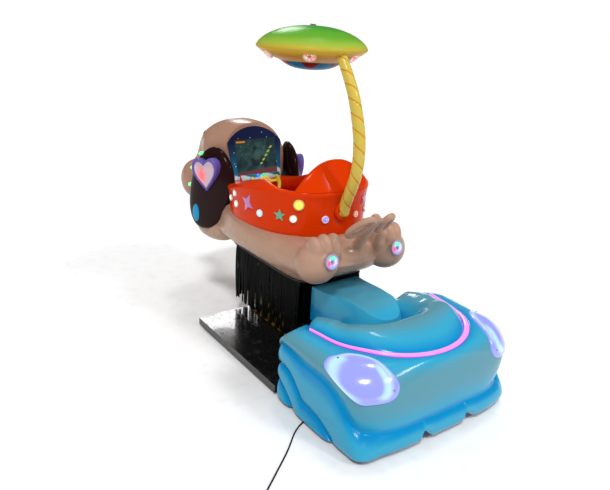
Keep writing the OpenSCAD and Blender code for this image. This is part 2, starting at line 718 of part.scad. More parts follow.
module canopy_top() color("yellowgreen") translate([canopy_x, 0, 0]) {
    top_r = (pow(canopy_r, 2) + pow(canopy_z - rim_line_z, 2)) / (2 * (canopy_z - rim_line_z));
    rotate_extrude() intersection() {
        difference() {
            translate([0, canopy_z - top_r]) circle(r = top_r, $fn = 128);
            translate([0, canopy_z - top_r]) circle(r = top_r - shell_t, $fn = 128);
        }
        translate([0, rim_line_z]) square([canopy_r, canopy_z - rim_line_z + 1]);
    }
    block(-22, 22, -5, 5, canopy_z - 5, canopy_z + 12);
}

// Underside: radius and depth under the rim line
dish = [[1, 0], [0.9, 26], [0.74, 56], [0.56, 78], [0.5, 82], [0.44, 98], [0.3, 110], [0.12, 116], [0, 116]];

module canopy_bottom() color("olive") translate([canopy_x, 0, rim_line_z]) rotate_extrude() polygon(concat(
    [for (p = dish) [p[0] * canopy_r, -p[1]]],
    [for (k = [len(dish) - 1:-1:0]) [max(0, dish[k][0] * canopy_r - (k == 0 ? 8 : 3)),
        min(0, -dish[k][1] + shell_t)]]));

module canopy_lamps() color("white") translate([canopy_x, 0, rim_line_z - 48])
    for (a = [26:60:326]) rotate([0, 0, a]) translate([0.78 * canopy_r, 0, 0]) rotate([0, 120, 0])
        cylinder(d = pod_d, h = 24);

// Lamps and stars on the tub's wall: angle round the tub, height, diameter share
lamp_spots = [[78, 800, 0.62], [109, 789, 0.68], [139, 796, 0.66], [143, 873, 0.95], [166, 798, 0.66],
    [194, 801, 0.6], [214, 804, 0.66], [250, 800, 0.66], [283, 790, 0.66]];
star_spots = [[94, 820, 4, 48], [127, 804, 5, 34], [206, 873, 5, 36], [232, 815, 5, 34], [268, 820, 4, 48]];

module on_tub(a, z) {
    e = 2 / (cos(a) > 0 ? tub_front_power : tub_power);
    p = [tub_a * bent(cos(a), e), tub_b * bent(sin(a), e)];
    turn = atan2(bent(sin(a), 2 - e) / tub_b, bent(cos(a), 2 - e) / tub_a);
    grow = 1 + 0.018 * ramp(z, 740, 900);
    translate([tub_x + p[0] * grow, p[1] * grow, z]) rotate([0, 90, turn]) children();
}

module tub_lamps() color("white") for (s = lamp_spots)
    on_tub(s[0], s[1]) translate([0, 0, -4]) cylinder(d = pod_d * s[2], h = 14);

module star_plan(points, r) polygon([for (k = [0:2 * points - 1]) let (q = k % 2 == 0 ? r : r * 0.42)
    [-q * cos(180 * k / points), q * sin(180 * k / points)]]);

module tub_stars() color("orchid") for (s = star_spots)
    on_tub(s[0], s[1]) translate([0, 0, -4]) linear_extrude(11) star_plan(s[2], s[3]);

// Paws, the hind paws' lamps and the bow-shaped tail
paw_x = body_x - body_a + 50;
tail_root_x = body_x - body_a + 15;
tail_tip_x = body_x - body_a - 82;
paw_y = 218;
paw_z = 631;
paw_r = 104;
leg_x = body_x + body_a - 130;
leg_y = 265;
leg_z = 545;
leg_r = 80;

module paw_left() color("tan") {
    translate([paw_x, paw_y, paw_z]) sphere(r = paw_r);
    for (k = [-1:1]) translate([paw_x - 34, paw_y + 60 * k, paw_z + 84 - 14 * abs(k)]) sphere(r = 42);
    rod_x(leg_y, leg_z, leg_r, leg_x - 178, leg_x);
    translate([leg_x, leg_y, leg_z]) sphere(r = leg_r);
}

module paw_right() mirror([0, 1, 0]) paw_left();

module paw_lamps() color("white") mirrored() translate([paw_x, paw_y - 8, paw_z + 18])
    rotate([0, -82, 0]) translate([0, 0, paw_r - 14]) cylinder(d = pod_d, h = 20);

module tail_bow() color("tan") {
    translate([tail_tip_x - 8, 0, 862]) sphere(r = 40);
    translate([tail_root_x, 0, 640]) rotate([0, -25.3, 0]) cylinder(r = 36, h = 246);
    mirrored() translate([tail_tip_x + 10, 80, 822]) rotate([0, 60, 12])
        rotate_extrude() translate([48, 0]) circle(r = 22);
}

// Fringe: a hem under the belly plate and separate hanging strips

module fringe_strips(count, first) for (i = [0:count - 1]) {
    drop = strip_drop[i % len(strip_drop)];
    translate([first + i * strip_pitch, 0, belly_z - belly_t - hem_h - drop])
        cube([strip_w, strip_t, drop]);
}

module fringe_sides() color("black") mirrored() translate([0, fringe_half - hem_t, 0]) {
    block(fringe_rear_x, fringe_front_x, 0, hem_t, belly_z - belly_t - hem_h, belly_z - belly_t);
    fringe_strips(floor((fringe_front_x - fringe_rear_x) / strip_pitch), fringe_rear_x + 2);
}

module fringe_ends() color("black") for (x = [fringe_rear_x, fringe_front_x - hem_t]) {
    half = fringe_half - hem_t - 1;
    block(x, x + hem_t, -half, half, belly_z - belly_t - hem_h, belly_z - belly_t);
    translate([x + hem_t, 0, 0]) rotate([0, 0, 90])
        fringe_strips(floor((2 * half - 24) / strip_pitch), 14 - half);
}

// Mains lead: gland, free stretch, coil, tie and plug

module cord_gland() color("black") translate([gland_x, deck_rear_half, gland_z]) rotate([-90, 0, 0]) {
    cylinder(d = 22, h = 10);
    translate([0, 0, 10]) cylinder(d1 = 18, d2 = 11, h = gland_len - 10);
}

module cord() color("black") skin(tube_rings(cord_route, cord_d / 2, 8));

// Coil: in along the floor, up a layer in half a turn, and out again on top
coil_span = 360 * coil_turns;
coil_way = [cos(cord_turn), sin(cord_turn), 0];
coil_side = [-sin(cord_turn), cos(cord_turn), 0];
coil_mid = cord_end + coil_run * coil_way + coil_out * coil_side;
function coil_r(a) = a < coil_span ? coil_out - coil_pitch * a / 360
    : a < coil_span + 180 ? coil_in : coil_in + coil_pitch * (a - coil_span - 180) / 360;
function coil_pt(a) = coil_mid + coil_r(a) * (sin(a) * coil_way - cos(a) * coil_side)
    + [0, 0, coil_layer * ramp(a, coil_span, coil_span + 180)];
coil_last = 2 * coil_span + 180;
coil_steps = ceil(coil_last * coil_rings / 360);
coil_exit = unit(coil_pt(coil_last) - coil_pt(coil_last - 4));
coil_route = concat([cord_end], [for (k = [0:coil_steps]) coil_pt(coil_last * k / coil_steps)],
    [coil_pt(coil_last) + coil_run * coil_exit, coil_pt(coil_last) + plug_run * coil_exit]);
coil_gaps = [for (i = [0:len(coil_route) - 1]) for (k = [i + coil_rings - 4:len(coil_route) - 1])
    norm(coil_route[i] - coil_route[k]) - cord_d];
echo(coil_least_gap = min(coil_gaps));

module cord_coil() color("black") skin(tube_rings(coil_route, cord_d / 2, 6));

module coil_tie() color("gray") translate([coil_mid[0], coil_mid[1], 0]) rotate([0, 0, cord_turn + 60]) {
    r0 = coil_in - cord_d / 2 - 5;
    r1 = coil_out + cord_d / 2 + 3;
    top = coil_layer + cord_d;
    difference() {
        block(r0, r1, -8, 8, 0, top + 1.5);
        block(r0 + 1.5, r1 - 1.5, -9, 9, -1, top);
    }
}

module plug() color("black") {
    end = coil_route[len(coil_route) - 1];
    translate([end[0], end[1], 0]) rotate([0, 0, atan2(coil_exit[1], coil_exit[0])]) {
        block(0, plug_len, -plug_w / 2, plug_w / 2, 0, 2 * end[2]);
        for (y = [-10, 10]) translate([plug_len, y, end[2]]) rotate([0, 90, 0]) cylinder(d = 4.8, h = 19);
    }
}

base_frame();
deck_plate();
levelling_feet();
fairing_shell();
fairing_ends();
hump_block();
headlight_lens_left();
headlight_lens_right();
light_strip();
drive_frame();
crank_bearings();
gearbox();
motor();
drive_belt();
control_box();
power_supply();
cord_gland();
cord();
cord_coil();
coil_tie();
plug();
crankshaft_rear();
pulley_rear();
crankshaft_front();
pulley_front();
motor_fan();
ride_frame();
body_shell();
head_shell();
nose();
eyes();
ear_left();
ear_right();
heart_bezels();
heart_lenses();
ear_discs();
ear_leds();
tub_shell();
backrest();
seat_bench();
dashboard();
screen_bezel();
lcd_panel();
pole();
pole_boss();
canopy_top();
canopy_bottom();
canopy_lamps();
tub_lamps();
tub_stars();
paw_left();
paw_right();
paw_lamps();
tail_bow();
fringe_sides();
fringe_ends();
steering_wheel();
horn_cap();
button_blue();
button_green();
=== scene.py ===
"""Kiddie ride machine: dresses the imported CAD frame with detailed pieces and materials."""

import logging
from dataclasses import dataclass
from enum import Enum
from math import asin, atan, ceil, copysign, cos, hypot, modf, pi, radians, sin, sqrt
from typing import Callable, Sequence, TypeVar, Union

import bmesh
import bpy
import numpy as np
from bpy.types import Material
from mathutils import Matrix, Vector


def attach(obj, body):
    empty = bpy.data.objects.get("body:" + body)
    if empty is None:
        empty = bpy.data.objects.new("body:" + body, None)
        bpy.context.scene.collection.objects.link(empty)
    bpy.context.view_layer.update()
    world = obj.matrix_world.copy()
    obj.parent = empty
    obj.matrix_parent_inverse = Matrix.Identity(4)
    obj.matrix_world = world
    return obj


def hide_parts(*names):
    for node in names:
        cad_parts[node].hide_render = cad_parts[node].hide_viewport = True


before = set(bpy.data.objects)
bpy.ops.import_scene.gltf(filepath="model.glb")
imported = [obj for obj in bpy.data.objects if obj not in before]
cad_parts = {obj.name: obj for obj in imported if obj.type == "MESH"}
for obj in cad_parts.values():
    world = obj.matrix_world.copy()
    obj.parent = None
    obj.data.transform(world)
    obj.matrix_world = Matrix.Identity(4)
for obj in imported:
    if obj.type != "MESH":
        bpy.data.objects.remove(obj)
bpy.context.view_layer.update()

LOG = logging.getLogger("kiddie_ride")
MM = 0.001
Vec = Sequence[float]
Pair = tuple[float, float]
Rgb = tuple[int, int, int]
Piece = bpy.types.Object
Blend = TypeVar("Blend", float, Vector)


class Body(Enum):
    """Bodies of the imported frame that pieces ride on."""

    BASE = "base"
    RIDE = "ride"
    STEERING = "steering"
    HORN = "horn"
    BLUE = "blue_push"
    GREEN = "green_push"


class Side(Enum):
    """The two sides of the machine, as the sign of Y."""

    LEFT = 1
    RIGHT = -1


def bent(value: float, power: float) -> float:
    """Raises a number to a power and keeps its sign."""
    return copysign(abs(value) ** power, value)


def mix(a: Blend, b: Blend, t: float) -> Blend:
    """Blends from a to b."""
    return a + (b - a) * t


def ramp(value: float, low: float, high: float) -> float:
    """Smooth step from 0 at low to 1 at high."""
    t = min(1.0, max(0.0, (value - low) / (high - low)))
    return t * t * (3 - 2 * t)


def wobble(seed: float) -> float:
    """Repeatable number from -1 to 1 for a seed."""
    return 2 * modf(abs(sin(seed * 12.9898) * 43758.5453))[0] - 1


def circle(count: int) -> list[float]:
    """Angles an equal way apart round a circle, in radians."""
    return [2 * pi * k / count for k in range(count)]


def oval(a: float, b: float, power: float, count: int, front: float = 0.0) -> list[Pair]:
    """Points of a superellipse in a plane.

    Args:
        a: half its size along the first axis.
        b: half its size along the second axis.
        power: 2 for an ellipse, more for a squarer shape.
        count: number of points.
        front: another power for the half in front, or 0 for none.

    Returns:
        The points, in the units of a and b.
    """
    points = []
    for t in circle(count):
        e = 2 / (front if front and cos(t) > 0 else power)
        points.append((a * bent(cos(t), e), b * bent(sin(t), e)))
    return points


def linear(colour: Rgb) -> tuple[float, float, float, float]:
    """Converts a screen colour in bytes to Blender's linear colour."""
    parts = [c / 255 for c in colour]
    return (*[p / 12.92 if p <= 0.04045 else ((p + 0.055) / 1.055) ** 2.4 for p in parts], 1.0)


def curve_point(corners: Sequence[Vector], t: float) -> Vector:
    """Point of a Catmull-Rom curve between the second and third of four corners."""
    a, b, c, d = corners
    return 0.5 * (2 * b + (c - a) * t + (2 * a - 5 * b + 4 * c - d) * t * t
                  + (3 * b - a - 3 * c + d) * t ** 3)


def smooth_path(points: Sequence[Vec], per: int) -> list[Vector]:
    """Catmull-Rom curve through the points.

    Args:
        points: points that the curve passes through.
        per: number of steps between two points.

    Returns:
        The curve's points.
    """
    pts = [Vector(p) for p in points]
    ends = [2 * pts[0] - pts[1], *pts, 2 * pts[-1] - pts[-2]]
    path = []
    for k in range(1, len(ends) - 2):
        path += [curve_point(ends[k - 1:k + 3], i / per) for i in range(per)]
    return [*path, pts[-1]]


def shader_step(operation: str, swapped: bool = False) -> Callable[..., "Sock"]:
    """Makes one operator of shader values.

    Args:
        operation: the Math node's operation.
        swapped: whether the other value comes first, as in 1 - mask.

    Returns:
        The operator as a method.
    """
    def apply(self: "Sock", *other: "Value") -> "Sock":
        """Adds the Math node and returns its value."""
        return self.net.math(operation, *((*other, self) if swapped else (self, *other)))
    return apply


class Sock:
    """One shader value that takes part in arithmetic."""

    __add__ = shader_step("ADD")
    __radd__ = shader_step("ADD", True)
    __sub__ = shader_step("SUBTRACT")
    __rsub__ = shader_step("SUBTRACT", True)
    __mul__ = shader_step("MULTIPLY")
    __rmul__ = shader_step("MULTIPLY", True)
    __truediv__ = shader_step("DIVIDE")
    __gt__ = shader_step("GREATER_THAN")
    __lt__ = shader_step("LESS_THAN")
    __abs__ = shader_step("ABSOLUTE")
    fract = shader_step("FRACT")
    floor = shader_step("FLOOR")
    sine = shader_step("SINE")
    root = shader_step("SQRT")

    def __init__(self, net: "Net", raw: bpy.types.NodeSocket) -> None:
        """Wraps one socket of a node tree."""
        self.net = net
        self.raw = raw

    def step(self, low: float, high: float) -> "Sock":
        """Smooth step of this value from 0 at low to 1 at high."""
        inputs = {0: self, 1: low, 2: high}
        return self.net.out("ShaderNodeMapRange", inputs, interpolation_type="SMOOTHSTEP")


Value = Union[Sock, float, tuple]


class Net:
    """A material's node tree with short ways to fill it."""

    def __init__(self, name: str) -> None:
        """Makes an empty material."""
        self.material = bpy.data.materials.new(name)
        self.material.use_nodes = True
        self.tree = self.material.node_tree
        self.tree.nodes.clear()

    def node(self, kind: str, inputs: dict, **settings: object) -> bpy.types.Node:
        """Makes one node.

        Args:
            kind: Blender's name of the node type.
            inputs: values or sockets by input name or number.
            settings: properties of the node.

        Returns:
            The new node.
        """
        made = self.tree.nodes.new(kind)
        for key, value in settings.items():
            setattr(made, key, value)
        for key, value in inputs.items():
            if isinstance(value, Sock):
                self.tree.links.new(value.raw, made.inputs[key])
            else:
                made.inputs[key].default_value = value
        return made

    def out(self, kind: str, inputs: dict, output: Union[int, str] = 0, **settings: object) -> Sock:
        """Makes one node and returns one of its outputs."""
        return Sock(self, self.node(kind, inputs, **settings).outputs[output])

    def math(self, operation: str, *values: Value) -> Sock:
        """One step of arithmetic."""
        return self.out("ShaderNodeMath", dict(enumerate(values)), operation=operation)

    def blend(self, share: Value, a: Value, b: Value) -> Sock:
        """Mixes two colours."""
        return self.out("ShaderNodeMix", {0: share, 6: a, 7: b}, 2, data_type="RGBA")

    def place(self) -> Sock:
        """The point's place in the object's frame, in metres."""
        return self.out("ShaderNodeTexCoord", {}, "Object")

    def parts(self, vector: Sock) -> tuple[Sock, Sock, Sock]:
        """Splits a vector into its three numbers."""
        split = self.node("ShaderNodeSeparateXYZ", {0: vector})
        return tuple(Sock(self, split.outputs[k]) for k in range(3))

    def noise(self, scale: float, detail: float = 2.0) -> Sock:
        """Cloudy noise over the object's place."""
        return self.out("ShaderNodeTexNoise", {"Vector": self.place(), "Scale": scale, "Detail": detail})

    def mark(self, name: str, output: str = "Fac") -> Sock:
        """An attribute stored on the mesh."""
        return self.out("ShaderNodeAttribute", {}, output, attribute_name=name)

    def bump(self, height: Sock, strength: float, distance: float) -> Sock:
        """A normal tilted by a height."""
        inputs = {"Height": height, "Strength": strength, "Distance": distance}
        return self.out("ShaderNodeBump", inputs)

    def finish(self, **inputs: Value) -> Material:
        """Closes the tree with one Principled shader.

        Args:
            inputs: shader inputs by name, with underscores for spaces.

        Returns:
            The finished material.
        """
        named = {key.replace("_", " "): value for key, value in inputs.items()}
        shader = self.out("ShaderNodeBsdfPrincipled", named)
        self.node("ShaderNodeOutputMaterial", {"Surface": shader})
        return self.material


@dataclass(frozen=True)
class Finish:
    """Base of all finishes: a named material that is made once."""

    name: str

    def material(self) -> Material:
        """Returns the material, made on first use."""
        return bpy.data.materials.get(self.name) or self.make(Net(self.name))

    def make(self, net: Net) -> Material:
        """Fills the material's node tree."""
        raise NotImplementedError


@dataclass(frozen=True)
class Gelcoat(Finish):
    """Glossy fibreglass; its shade mark blends high, base and shade tones, mostly painted highlight and
    shade.
    """

    base: Rgb
    shade: Rgb
    high: Rgb
    rough: float = 0.2
    coat: float = 0.12
    shine: float = 0.16

    def make(self, net: Net) -> Material:
        """Blends the painted highlight tone, the base and the painted shade tone by the mark and a little
        cloud.

        Args:
            net: the material's node tree.

        Returns:
            The finished material.
        """
        # Painted light: the mark runs from the highlight tone at 0 through the base to the shade tone at 1.
        painted_shade = net.mark("shade") + net.noise(5.0, 3) * 0.16 - 0.08
        colour = net.blend(painted_shade.step(0.0, 0.5), linear(self.high), linear(self.base))
        colour = net.blend(painted_shade.step(0.45, 1.0), colour, linear(self.shade))
        return net.finish(
            Base_Color=colour, Roughness=net.noise(9, 2) * 0.08 + self.rough, Coat_Weight=self.coat,
            Coat_Roughness=0.04, Specular_IOR_Level=self.shine)


@dataclass(frozen=True)
class Paint(Finish):
    """Painted or moulded surface with slight wear and a fine grain."""

    base: Rgb
    worn: Rgb
    rough: float = 0.4
    metal: float = 0.0
    grain: float = 300.0
    shine: float = 0.1

    def make(self, net: Net) -> Material:
        """Blends clean and worn paint and adds a fine grain.

        Args:
            net: the material's node tree.

        Returns:
            The finished material.
        """
        colour = net.blend(net.noise(14, 5).step(0.45, 0.75), linear(self.base), linear(self.worn))
        return net.finish(
            Base_Color=colour, Metallic=self.metal, Roughness=net.noise(40, 4) * 0.2 + self.rough,
            Specular_IOR_Level=self.shine,
            Normal=net.bump(net.noise(self.grain, 2), 0.12, 0.0004))


@dataclass(frozen=True)
class Chequer(Finish):
    """Black painted plate with raised lozenges in alternate directions."""

    pitch: float = 0.026

    def make(self, net: Net) -> Material:
        """Turns two slanted grids into lozenges that stand up.

        Args:
            net: the material's node tree.

        Returns:
            The finished material.
        """
        x, y, _ = net.parts(net.place())
        u, v = (x + y) / self.pitch, (x - y) / self.pitch
        fu, fv = abs(u.fract() - 0.5), abs(v.fract() - 0.5)
        odd = ((u.floor() + v.floor()) / 2).fract() > 0.25
        long_u, long_v = fu * 1.1 + fv * 3.6, fu * 3.6 + fv * 1.1
        lozenge = 1.0 - (long_u * odd + long_v * (1.0 - odd)).step(0.3, 0.62)
        scuff = net.noise(24, 6).step(0.5, 0.8)
        colour = net.blend(scuff * 0.35 + lozenge * 0.12, linear((14, 14, 16)), linear((52, 54, 58)))
        return net.finish(
            Base_Color=colour, Roughness=scuff * 0.14 + 0.24, Coat_Weight=0.3, Specular_IOR_Level=0.5,
            Normal=net.bump(lozenge, 0.7, 0.0016))


@dataclass(frozen=True)
class Hazard(Finish):
    """Slanted warning stripes under dirt."""

    width: float = 0.07

    def make(self, net: Net) -> Material:
        """Lays slanted stripes and dirt over them.

        Args:
            net: the material's node tree.

        Returns:
            The finished material.
        """
        x, y, z = net.parts(net.place())
        stripe = ((x + y + z) / self.width).fract() > 0.4
        dirt = net.noise(30, 5).step(0.52, 0.75)
        paint = net.blend(stripe, linear((170, 132, 8)), linear((16, 16, 17)))
        colour = net.blend(dirt * 0.6, paint, linear((70, 62, 48)))
        return net.finish(
            Base_Color=colour, Roughness=dirt * 0.25 + 0.32,
            Normal=net.bump(net.noise(220, 2), 0.12, 0.0004))


@dataclass(frozen=True)
class Glow(Finish):
    """A lit lens whose mark blends its body colour into a bright one."""

    dim: Rgb
    lit: Rgb
    strength: float = 1.0
    rough: float = 0.12

    def make(self, net: Net) -> Material:
        """Blends the dim and the lit colour by the mark.

        Args:
            net: the material's node tree.

        Returns:
            The finished material.
        """
        share = net.mark("shade")
        cloud = net.noise(40, 2) * 0.12
        light = net.blend(share, linear(self.dim), linear(self.lit))
        return net.finish(
            Base_Color=net.blend(0.7, light, linear((20, 20, 30))), Roughness=cloud + self.rough,
            Coat_Weight=0.3, Emission_Color=light, Emission_Strength=self.strength)


@dataclass(frozen=True)
class TintGlow(Finish):
    """Small lamps, each in the colour stored on its mesh."""

    strength: float = 1.2

    def make(self, net: Net) -> Material:
        """Lights each lamp in its own colour.

        Args:
            net: the material's node tree.

        Returns:
            The finished material.
        """
        tint = net.mark("tint", "Color")
        return net.finish(
            Base_Color=tint, Roughness=net.noise(90, 2) * 0.15 + 0.1, Coat_Weight=0.5,
            Emission_Color=tint, Emission_Strength=self.strength)


@dataclass(frozen=True)
class TintPaint(Finish):
    """Glossy paint in the colour stored on the mesh."""

    rough: float = 0.25

    def make(self, net: Net) -> Material:
        """Fades each mesh's own colour a little.

        Args:
            net: the material's node tree.

        Returns:
            The finished material.
        """
        fade = net.blend(net.noise(20, 3) * 0.25, net.mark("tint", "Color"), (0.9, 0.9, 0.9, 1))
        return net.finish(
            Base_Color=fade, Roughness=net.noise(60, 2) * 0.1 + self.rough, Coat_Weight=0.4)


@dataclass(frozen=True)
class NightPrint(Finish):
    """Printed night sky: navy with scattered stars over a pale cloud band, and a faint painted glow."""

    low: float
    high: float

    def make(self, net: Net) -> Material:
        """Strews stars on a sky that pales downwards into cloud.

        Args:
            net: the material's node tree.

        Returns:
            The finished material.
        """
        _, _, z = net.parts(net.place())
        up = (z - self.low) / (self.high - self.low)
        sky = net.blend(up.step(0.0, 0.75), linear((24, 110, 150)), linear((10, 22, 62)))
        cell = net.node("ShaderNodeTexVoronoi", {"Vector": net.place(), "Scale": 46.0})
        size = net.out("ShaderNodeSeparateColor", {0: Sock(net, cell.outputs["Color"])})
        star = Sock(net, cell.outputs["Distance"]) < size * size * 0.17
        cloud = (net.noise(13, 4) - up * 2.2).step(0.2, 0.34)
        colour = net.blend(star, sky, linear((225, 235, 245)))
        colour = net.blend(cloud, colour, linear((200, 228, 238)))
        # Painted glow: the print gives off a little light in its own colours.
        return net.finish(
            Base_Color=colour, Roughness=net.noise(70, 2) * 0.08 + 0.16, Coat_Weight=0.5,
            Emission_Color=colour, Emission_Strength=0.12)


@dataclass(frozen=True)
class WavePrint(Finish):
    """Printed band of pale waves on teal."""

    def make(self, net: Net) -> Material:
        """Bends pale bands into waves.

        Args:
            net: the material's node tree.

        Returns:
            The finished material.
        """
        _, y, z = net.parts(net.place())
        wave = (z * 70.0 + (y * 38.0).sine() * 0.7 + net.noise(9.0, 3) * 1.6).sine()
        colour = net.blend(wave.step(0.1, 0.5), linear((8, 108, 128)), linear((176, 204, 206)))
        return net.finish(Base_Color=colour, Roughness=net.noise(9, 2) * 0.08 + 0.25, Specular_IOR_Level=0.1)


@dataclass(frozen=True)
class GameScreen(Finish):
    """Lit screen with an abstract picture: a hazy field, a dashed ray, leaves, ground and a bar."""

    low: float
    high: float
    half: float

    def make(self, net: Net) -> Material:
        """Stacks the field, ray, leaves, ground and bar of the picture.

        Args:
            net: the material's node tree.

        Returns:
            The finished material.
        """
        _, y, z = net.parts(net.place())
        up = (z - self.low) / (self.high - self.low)
        across = y / self.half
        haze = net.noise(16, 6)
        field = net.blend(haze.step(0.35, 0.65), linear((24, 40, 44)), linear((70, 105, 98)))
        aside, above = across + 0.1, up - 0.5
        edge = (aside * aside * 1.5 + above * above * 4.0).step(0.0, 0.8)
        field = net.blend(edge * 0.55, field, linear((18, 48, 54)))
        ray = abs(((across - 0.3) * 0.9 + up * 1.1) * 3.0 + 0.4).step(0.22, 0.06)
        dash = ((up * 9.0).fract() > 0.4) * (up > 0.28) * (up < 0.78)
        field = net.blend(ray * dash, field, linear((190, 205, 90)))
        leaf = (net.out("ShaderNodeTexVoronoi", {"Vector": net.place(), "Scale": 60.0}) < 0.16) * (
            up > 0.55) * (up < 0.88) * (across > -0.1)
        field = net.blend(leaf, field, linear((60, 165, 130)))
        ground = (up + across * 0.05).step(0.16, 0.12)
        field = net.blend(ground * 0.9, field, linear((120, 62, 66)))
        bar = (up > 0.91) * (up < 0.96) * (across > 0.5) * (across < 0.94)
        field = net.blend(bar, field, linear((235, 140, 40)))
        return net.finish(
            Base_Color=linear((14, 18, 20)), Roughness=haze * 0.05 + 0.12, Coat_Weight=0.4,
            Emission_Color=field, Emission_Strength=0.7)


@dataclass(frozen=True)
class CanopyPaint(Finish):
    """Canopy airbrushed from green to amber at the rim and below, with red petals on a blue dome."""

    middle_x: float
    rim: float
    top: float
    radius: float

    def make(self, net: Net) -> Material:
        """Blends the bands by height and lays petals under the dome.

        Args:
            net: the material's node tree.

        Returns:
            The finished material.
        """
        x, y, z = net.parts(net.place())
        x = x - self.middle_x
        far = (x * x + y * y).root() / self.radius
        up = (z - self.rim) / (self.top - self.rim) + net.noise(3.0, 3) * 0.16 - 0.08
        colour = net.blend(up.step(-0.02, 0.3), linear((196, 164, 58)), linear((150, 178, 62)))
        colour = net.blend(up.step(0.2, 0.62), colour, linear((92, 160, 42)))
        colour = net.blend(up.step(0.68, 1.0), colour, linear((52, 148, 40)))
        below = up.step(-0.06, -0.34)
        colour = net.blend(below, colour, linear((172, 122, 40)))
        petal = abs((net.math("ARCTAN2", y, x) * (6 / (2 * pi)) + 0.5 - 22 / 60).fract() - 0.5)
        dome = far.step(0.585, 0.575) * (up < -0.3)
        red = dome * ((far - 0.3) * 1.1 > petal)
        colour = net.blend(dome, colour, linear((12, 92, 128)))
        colour = net.blend(red, colour, linear((104, 14, 12)))
        return net.finish(
            Base_Color=colour, Roughness=net.noise(9, 2) * 0.08 + 0.26, Specular_IOR_Level=0.05)


# Gelcoat tones in order: base, shade, high; shade and high mostly paint shade and highlight where a mesh is
# marked.
TAN = Gelcoat("tan_gelcoat", (170, 130, 109), (126, 72, 48), (178, 142, 121), 0.24, 0.1)
ORANGE = Gelcoat("orange_gelcoat", (208, 50, 0), (136, 24, 0), (212, 54, 0), 0.14, 0.05, 0.05)
BLUE = Gelcoat("blue_gelcoat", (52, 160, 196), (0, 136, 194), (88, 147, 164), 0.16, 0.16, 0.14)
BROWN = Gelcoat("brown_gelcoat", (34, 15, 17), (14, 6, 7), (38, 18, 19), 0.14, 0.06, 0.06)
PURPLE = Gelcoat("purple_plastic", (94, 74, 160), (58, 43, 118), (104, 86, 172), 0.25)
CYAN = Gelcoat("cyan_plastic", (8, 136, 182), (6, 94, 136), (14, 146, 192), 0.2)
BLACK = Gelcoat("black_gloss_plastic", (12, 12, 14), (4, 4, 5), (18, 18, 20), 0.16)
POLE = Gelcoat("pole_paint", (204, 172, 60), (214, 118, 20), (206, 182, 78), 0.2)
YELLOW = Gelcoat("yellow_plastic", (214, 184, 32), (110, 180, 210), (220, 192, 50), 0.22)
PVC = Paint("strip_pvc", (8, 9, 11), (14, 15, 18), 0.3, 0.0, 120.0, 0.025)
RUBBER = Paint("rubber", (14, 14, 15), (28, 28, 29), 0.5, 0.0, 420.0)
STEEL = Paint("machined_steel", (150, 152, 156), (118, 118, 120), 0.26, 1.0, 600.0)
CAST = Paint("painted_casting", (72, 78, 86), (54, 56, 58), 0.45, 0.0, 150.0)
FRAME_GREY = Paint("frame_paint", (66, 68, 71), (88, 80, 70), 0.42)
MOTOR = Paint("motor_paint", (52, 84, 110), (44, 60, 74), 0.38)
BOX = Paint("box_plastic", (176, 177, 178), (150, 150, 148), 0.42)
FIN = Paint("fin_paint", (128, 138, 120), (96, 104, 92), 0.35)
TIE = Paint("woven_tie", (84, 84, 86), (60, 60, 62), 0.7, 0.0, 900.0)
CHEQUER = Chequer("chequer_plate")
HAZARD = Hazard("hazard_paint_look")
STRIP_LIGHT = Glow("pink_strip_light", (255, 96, 232), (255, 150, 246), 1.0)
HEADLIGHT = Glow("headlight_lens_look", (160, 166, 255), (196, 238, 255), 0.72)
HEART = Glow("heart_lens_look", (190, 166, 176), (255, 104, 108), 0.8)
LAMP = TintGlow("lamp_glow", 1.0)
BUTTON = TintGlow("button_glow", 0.9)
STAR = TintPaint("star_paint_look")


def activate(obj: Piece) -> Piece:
    """Makes an object the only selected and active one, and returns it."""
    bpy.ops.object.select_all(action="DESELECT")
    obj.select_set(True)
    bpy.context.view_layer.objects.active = obj
    return obj


def modify(obj: Piece, kind: str, **settings: object) -> Piece:
    """Adds a modifier and applies it.

    Args:
        obj: the mesh object.
        kind: Blender's name of the modifier type.
        settings: properties of the modifier.

    Returns:
        The same object.
    """
    activate(obj)
    modifier = obj.modifiers.new(kind.title(), kind)
    for key, value in settings.items():
        setattr(modifier, key, value)
    bpy.ops.object.modifier_apply(modifier=modifier.name)
    return obj


def outward(obj: Piece) -> Piece:
    """Turns a mesh's normals outwards and shades it smooth.

    Args:
        obj: the mesh object.

    Returns:
        The same object.
    """
    activate(obj)
    bpy.ops.object.mode_set(mode="EDIT")
    bpy.ops.mesh.select_all(action="SELECT")
    bpy.ops.mesh.normals_make_consistent(inside=False)
    bpy.ops.object.mode_set(mode="OBJECT")
    bpy.ops.object.shade_smooth()
    return obj


def crisp(obj: Piece, angle: float) -> Piece:
    """Shades a mesh smooth apart from edges sharper than an angle in radians."""
    activate(obj)
    bpy.ops.object.shade_smooth_by_angle(angle=angle)
    return obj


def new_object(name: str, data: bpy.types.ID) -> Piece:
    """Makes an object of a mesh, curve, light or camera and links it to the scene."""
    obj = bpy.data.objects.new(name, data)
    bpy.context.scene.collection.objects.link(obj)
    return obj


def mesh_piece(name: str, points: Sequence[Vec], faces: Sequence[Sequence[int]]) -> Piece:
    """Makes a mesh object of points in metres and faces.

    Args:
        name: name of the new object.
        points: the mesh's points.
        faces: numbers of each face's points.

    Returns:
        The new object.
    """
    mesh = bpy.data.meshes.new(name)
    mesh.from_pydata([tuple(p) for p in points], [], faces)
    return new_object(name, mesh)


